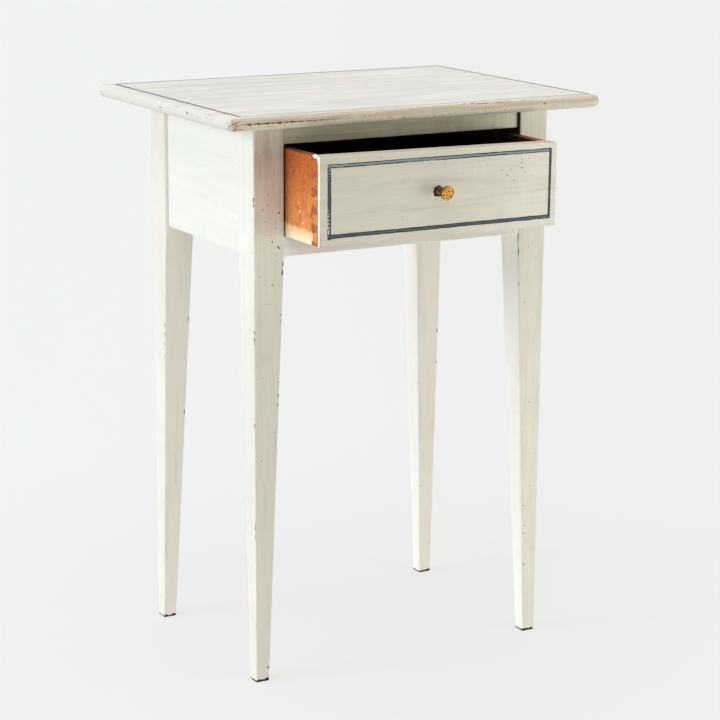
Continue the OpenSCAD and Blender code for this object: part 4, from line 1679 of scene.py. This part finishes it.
@dataclass
class Knob:
    """The turned brass knob on its dark rosette."""

    shop: Shop
    petals: int = 8
    rim: float = 3.2 * MM
    droop: float = math.radians(2.5)

    def build(self) -> None:
        """Makes the knob and its rosette."""
        low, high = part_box("knob_head")
        radius, reach = (high.x - low.x) / 2, high.y - low.y
        brass = OldMetal("knob brass", tint("efb25a"), tint("2c1408"), 0.32, hollow=True).build()
        head = turned_mesh("knob_head_turned", self._outline(radius, reach), 96, self._relief(radius))
        self._keep_tarnish_and_shade(head, radius, reach)
        lift = Matrix.Translation((0.0, reach * math.sin(self.droop) + 0.4 * MM, 0.0))
        head.transform(self._outward(low, high) @ lift @ Matrix.Rotation(self.droop, 4, "X"))
        head.materials.append(brass)
        settle(new_piece("knob_head_turned", head), Body.DRAWER, "brass", "knob_head")

        low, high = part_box("knob_rosette")
        dark = OldMetal(
            "tarnished brass", tint("3c2010"), tint("140a06"), 0.6, flaked=tint("cdc9b8"),
        ).build()
        r, t = (high.x - low.x) / 2, high.y - low.y
        plate = [(0, 0), (r, 0), (r, t * 0.35), (r * 0.94, t * 0.7), (r * 0.8, t), (0, t)]
        mesh = turned_mesh("knob_rosette_turned", plate, 60, self._ragged(r))
        for vertex in mesh.vertices:
            turn = math.atan2(vertex.co.y, vertex.co.x)
            bite = noise.noise(Vector((math.cos(turn) * 2.2, math.sin(turn) * 2.2, 5.0)))
            vertex.co.xy *= 0.9 + 0.22 * bite
        mesh.transform(self._outward(low, high))
        mesh.materials.append(dark)
        settle(new_piece("knob_rosette_turned", mesh), Body.DRAWER, "aged_brass", "knob_rosette")

    @staticmethod
    def _outward(low: Vector, high: Vector) -> Matrix:
        """Stands a turned shape on the drawer front, its axis pointing out."""
        foot = Vector(((low.x + high.x) / 2, high.y, (low.z + high.z) / 2))
        return Matrix.Translation(foot) @ Euler((math.radians(90), 0, 0)).to_matrix().to_4x4()

    @staticmethod
    def _ragged(radius: float) -> Callable[[float, float], float]:
        """An uneven face for the corroded rosette."""

        def rise(r: float, turn: float) -> float:
            """Height of the unevenness at a point."""
            if r < radius * 0.5:
                return 0.0
            return 0.25 * MM * noise.noise(Vector((math.cos(turn) * 2.3, math.sin(turn) * 2.3, r * 900)))

        return rise

    def _outline(self, radius: float, reach: float) -> list[tuple[float, float]]:
        """The knob's half outline, from its neck's foot to the middle of its face."""
        neck, flare = radius * 0.44, radius * 0.72
        round_over = 0.7 * MM
        under = reach - self.rim
        outline = [(0.0, 0.0), (neck * 1.3, 0.0), (neck * 1.3, 1.0 * MM), (neck, 2.2 * MM), (neck, 4.5 * MM)]
        outline += [
            (flare - (flare - neck) * math.cos(a), 4.5 * MM + (under - 4.5 * MM) * math.sin(a))
            for a in np.linspace(0.0, math.pi / 2, 9)[1:]
        ]
        outline += [(radius - round_over, under + 0.1 * MM), (radius - 0.2 * MM, under + 0.5 * MM)]
        outline += [
            (radius - round_over + round_over * math.cos(a), reach - round_over + round_over * math.sin(a))
            for a in np.linspace(-0.3, math.pi / 2, 7)
        ]
        face = radius - round_over
        outline += [(face * s, reach) for s in np.linspace(0.98, 0.0, 34)]
        return outline

    def _relief(self, radius: float) -> Callable[[float, float], float]:
        """How far the pressed pattern on the face rises or sinks."""

        def rise(r: float, turn: float) -> float:
            """Height of the pattern, which only the face's points have."""
            return self._pattern(r / radius, turn) * 0.3 * MM if r < radius - 0.72 * MM else 0.0

        return rise

    def _pattern(self, share: float, turn: float) -> float:
        """The face's pattern: a groove inside the rim, petals and a middle boss."""
        groove = -math.exp(-(((share - 0.74) / 0.045) ** 2))
        petal = 0.5 + 0.5 * math.cos(self.petals * turn)
        ring = math.exp(-(((share - 0.46) / 0.15) ** 2))
        inner = -math.exp(-(((share - 0.22) / 0.05) ** 2))
        boss = math.exp(-((share / 0.1) ** 2))
        return 0.9 * groove + ring * (petal * 1.1 - 0.7) + boss * 0.6 + inner * 0.6

    def _keep_tarnish_and_shade(self, mesh: bpy.types.Mesh, radius: float, reach: float) -> None:
        """Keeps hollow: patina in the face's pattern and on the rim's side, and painted shade on the rim's
        side, the face's upper edge and one side of the neck.
        """
        points = point_array(mesh)
        hollow = np.zeros(len(points))
        for i, (x, y, z) in enumerate(points):
            share, turn = math.hypot(x, y) / radius, math.atan2(y, x)
            upper = max(0.0, math.cos(turn - 2.2))
            if z > reach - 0.75 * MM and share < 0.95:
                # Painted shade: the face's edge darkens towards its top.
                shaded = 0.7 * upper * (share > 0.88)
                hollow[i] = np.clip(-self._pattern(share, turn) + 0.12 + shaded, 0.0, 0.85)
            elif z > reach - self.rim - 0.2 * MM:
                # Painted shade and patina: the rim's side is dark all round.
                hollow[i] = 0.95 if share > 0.8 else 0.8
            else:
                # Painted shade: the neck and the flare darken on one side.
                hollow[i] = np.clip(0.6 + 0.6 * math.sin(turn - 0.5), 0.15, 0.98)
        attribute = mesh.attributes.new("hollow", "FLOAT", "POINT")
        attribute.data.foreach_set("value", hollow)


@dataclass
class Fasteners:
    """Pegs, nails, screws, and the knob's bolt and nut."""

    shop: Shop

    def build(self) -> None:
        """Dresses every packed fastener."""
        iron = OldMetal("forged iron", tint("5a504a"), tint("2b211c"), 0.6).build()
        pegs = PineWood("peg wood", Grain.Z, tint("a67c50"), tint("7d5633")).build()
        finishes = {
            "top_screws": iron, "frame_nails": iron, "drawer_bottom_nails": iron, "knob_bolt": iron,
            "knob_nut": iron, "tenon_pegs": pegs,
        }
        for node, finish in finishes.items():
            packed = self.shop.nodes[node]
            packed.data.materials.clear()
            packed.data.materials.append(finish)
            log.info("%s: dressed", node)


@dataclass
class FlightHoles:
    """Where beetles once left the wood: small dark round holes."""

    shop: Shop
    on_drawer: tuple[tuple[float, float, float], ...] = (
        (294.5, 79.0, 2.3), (294.2, 90.0, 1.3), (294.3, 86.0, 1.2), (304.9, 90.7, 1.2), (264.2, 78.0, 1.5),
        (271.9, 71.0, 1.6), (282.7, 63.8, 1.6), (242.9, 86.0, 1.1), (299.0, 74.0, 0.9), (287.0, 81.0, 0.8),
        (276.0, 84.0, 0.8), (310.0, 69.0, 0.8), (118.0, 30.0, 0.8), (20.0, 86.0, 0.9), (180.0, 95.0, 0.8),
    )
    on_front_left: tuple[tuple[float, float, float], ...] = (
        (35.6, 620.7, 2.4), (34.2, 577.4, 2.6), (36.0, 575.5, 1.6), (25.8, 584.5, 2.0), (13.1, 626.3, 1.5),
        (18.9, 632.2, 1.3), (23.0, 593.7, 1.2), (30.0, 602.0, 1.4), (20.3, 644.7, 1.2), (13.5, 699.0, 1.1),
        (28.0, 588.0, 1.0), (9.0, 541.0, 1.2), (26.0, 529.0, 2.2), (31.0, 560.0, 1.0), (16.0, 611.0, 1.0),
        (22.0, 505.0, 1.0), (12.0, 410.0, 1.1), (10.0, 300.0, 1.1),
    )
    on_front_right: tuple[tuple[float, float, float], ...] = (
        (23.5, 183.5, 1.5), (21.5, 154.5, 1.6), (21.2, 142.9, 1.7), (21.0, 98.0, 1.9), (14.0, 210.0, 1.1),
        (18.0, 330.0, 1.1), (25.0, 545.0, 1.1), (30.0, 470.0, 1.0), (12.0, 120.0, 1.0),
    )

    def build(self) -> None:
        """Makes the holes on the drawer's front and on the front legs."""
        dark = dark_hole()
        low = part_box("drawer_front")[0]
        drawer = self._row("hole_d", low.x, 1, low.y, low.z, self.on_drawer, dark)
        settle(self.shop.join("drawer_flight_holes", drawer), Body.DRAWER, "cream_paint")
        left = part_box("leg_front_left")[0]
        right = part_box("leg_front_right")
        front = left.y - Legs.coat
        legs = self._row("hole_l", left.x, 1, front, 0.0, self.on_front_left, dark)
        legs += self._row("hole_r", right[1].x, -1, front, 0.0, self.on_front_right, dark)
        settle(self.shop.join("leg_flight_holes", legs), Body.TABLE, "cream_paint")

    def _row(self, name: str, side: float, inward: int, face: float, foot: float,
             holes: Sequence[tuple[float, float, float]],
             finish: bpy.types.Material) -> list[bpy.types.Object]:
        """Makes holes given by how far in, how high and how wide they are, in millimetres."""
        return [
            self.shop.dots(
                f"{name}_{i}", [(side + inward * across * MM, face, foot + up * MM)], finish,
                (0.0, -1.0, 0.0), wide * MM, 90 + i, 0.25 * MM, 0.2,
            )
            for i, (across, up, wide) in enumerate(holes)
        ]


def main() -> None:
    """Loads the frame and dresses it, one sub-assembly after another."""
    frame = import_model()
    Studio().build()
    shop = Shop(frame["nodes"])
    Top(shop).build()
    Legs(shop).build()
    Carcase(shop).build()
    Drawer(shop).build()
    Knob(shop).build()
    Fasteners(shop).build()
    FlightHoles(shop).build()


if __name__ == "__main__":
    main()
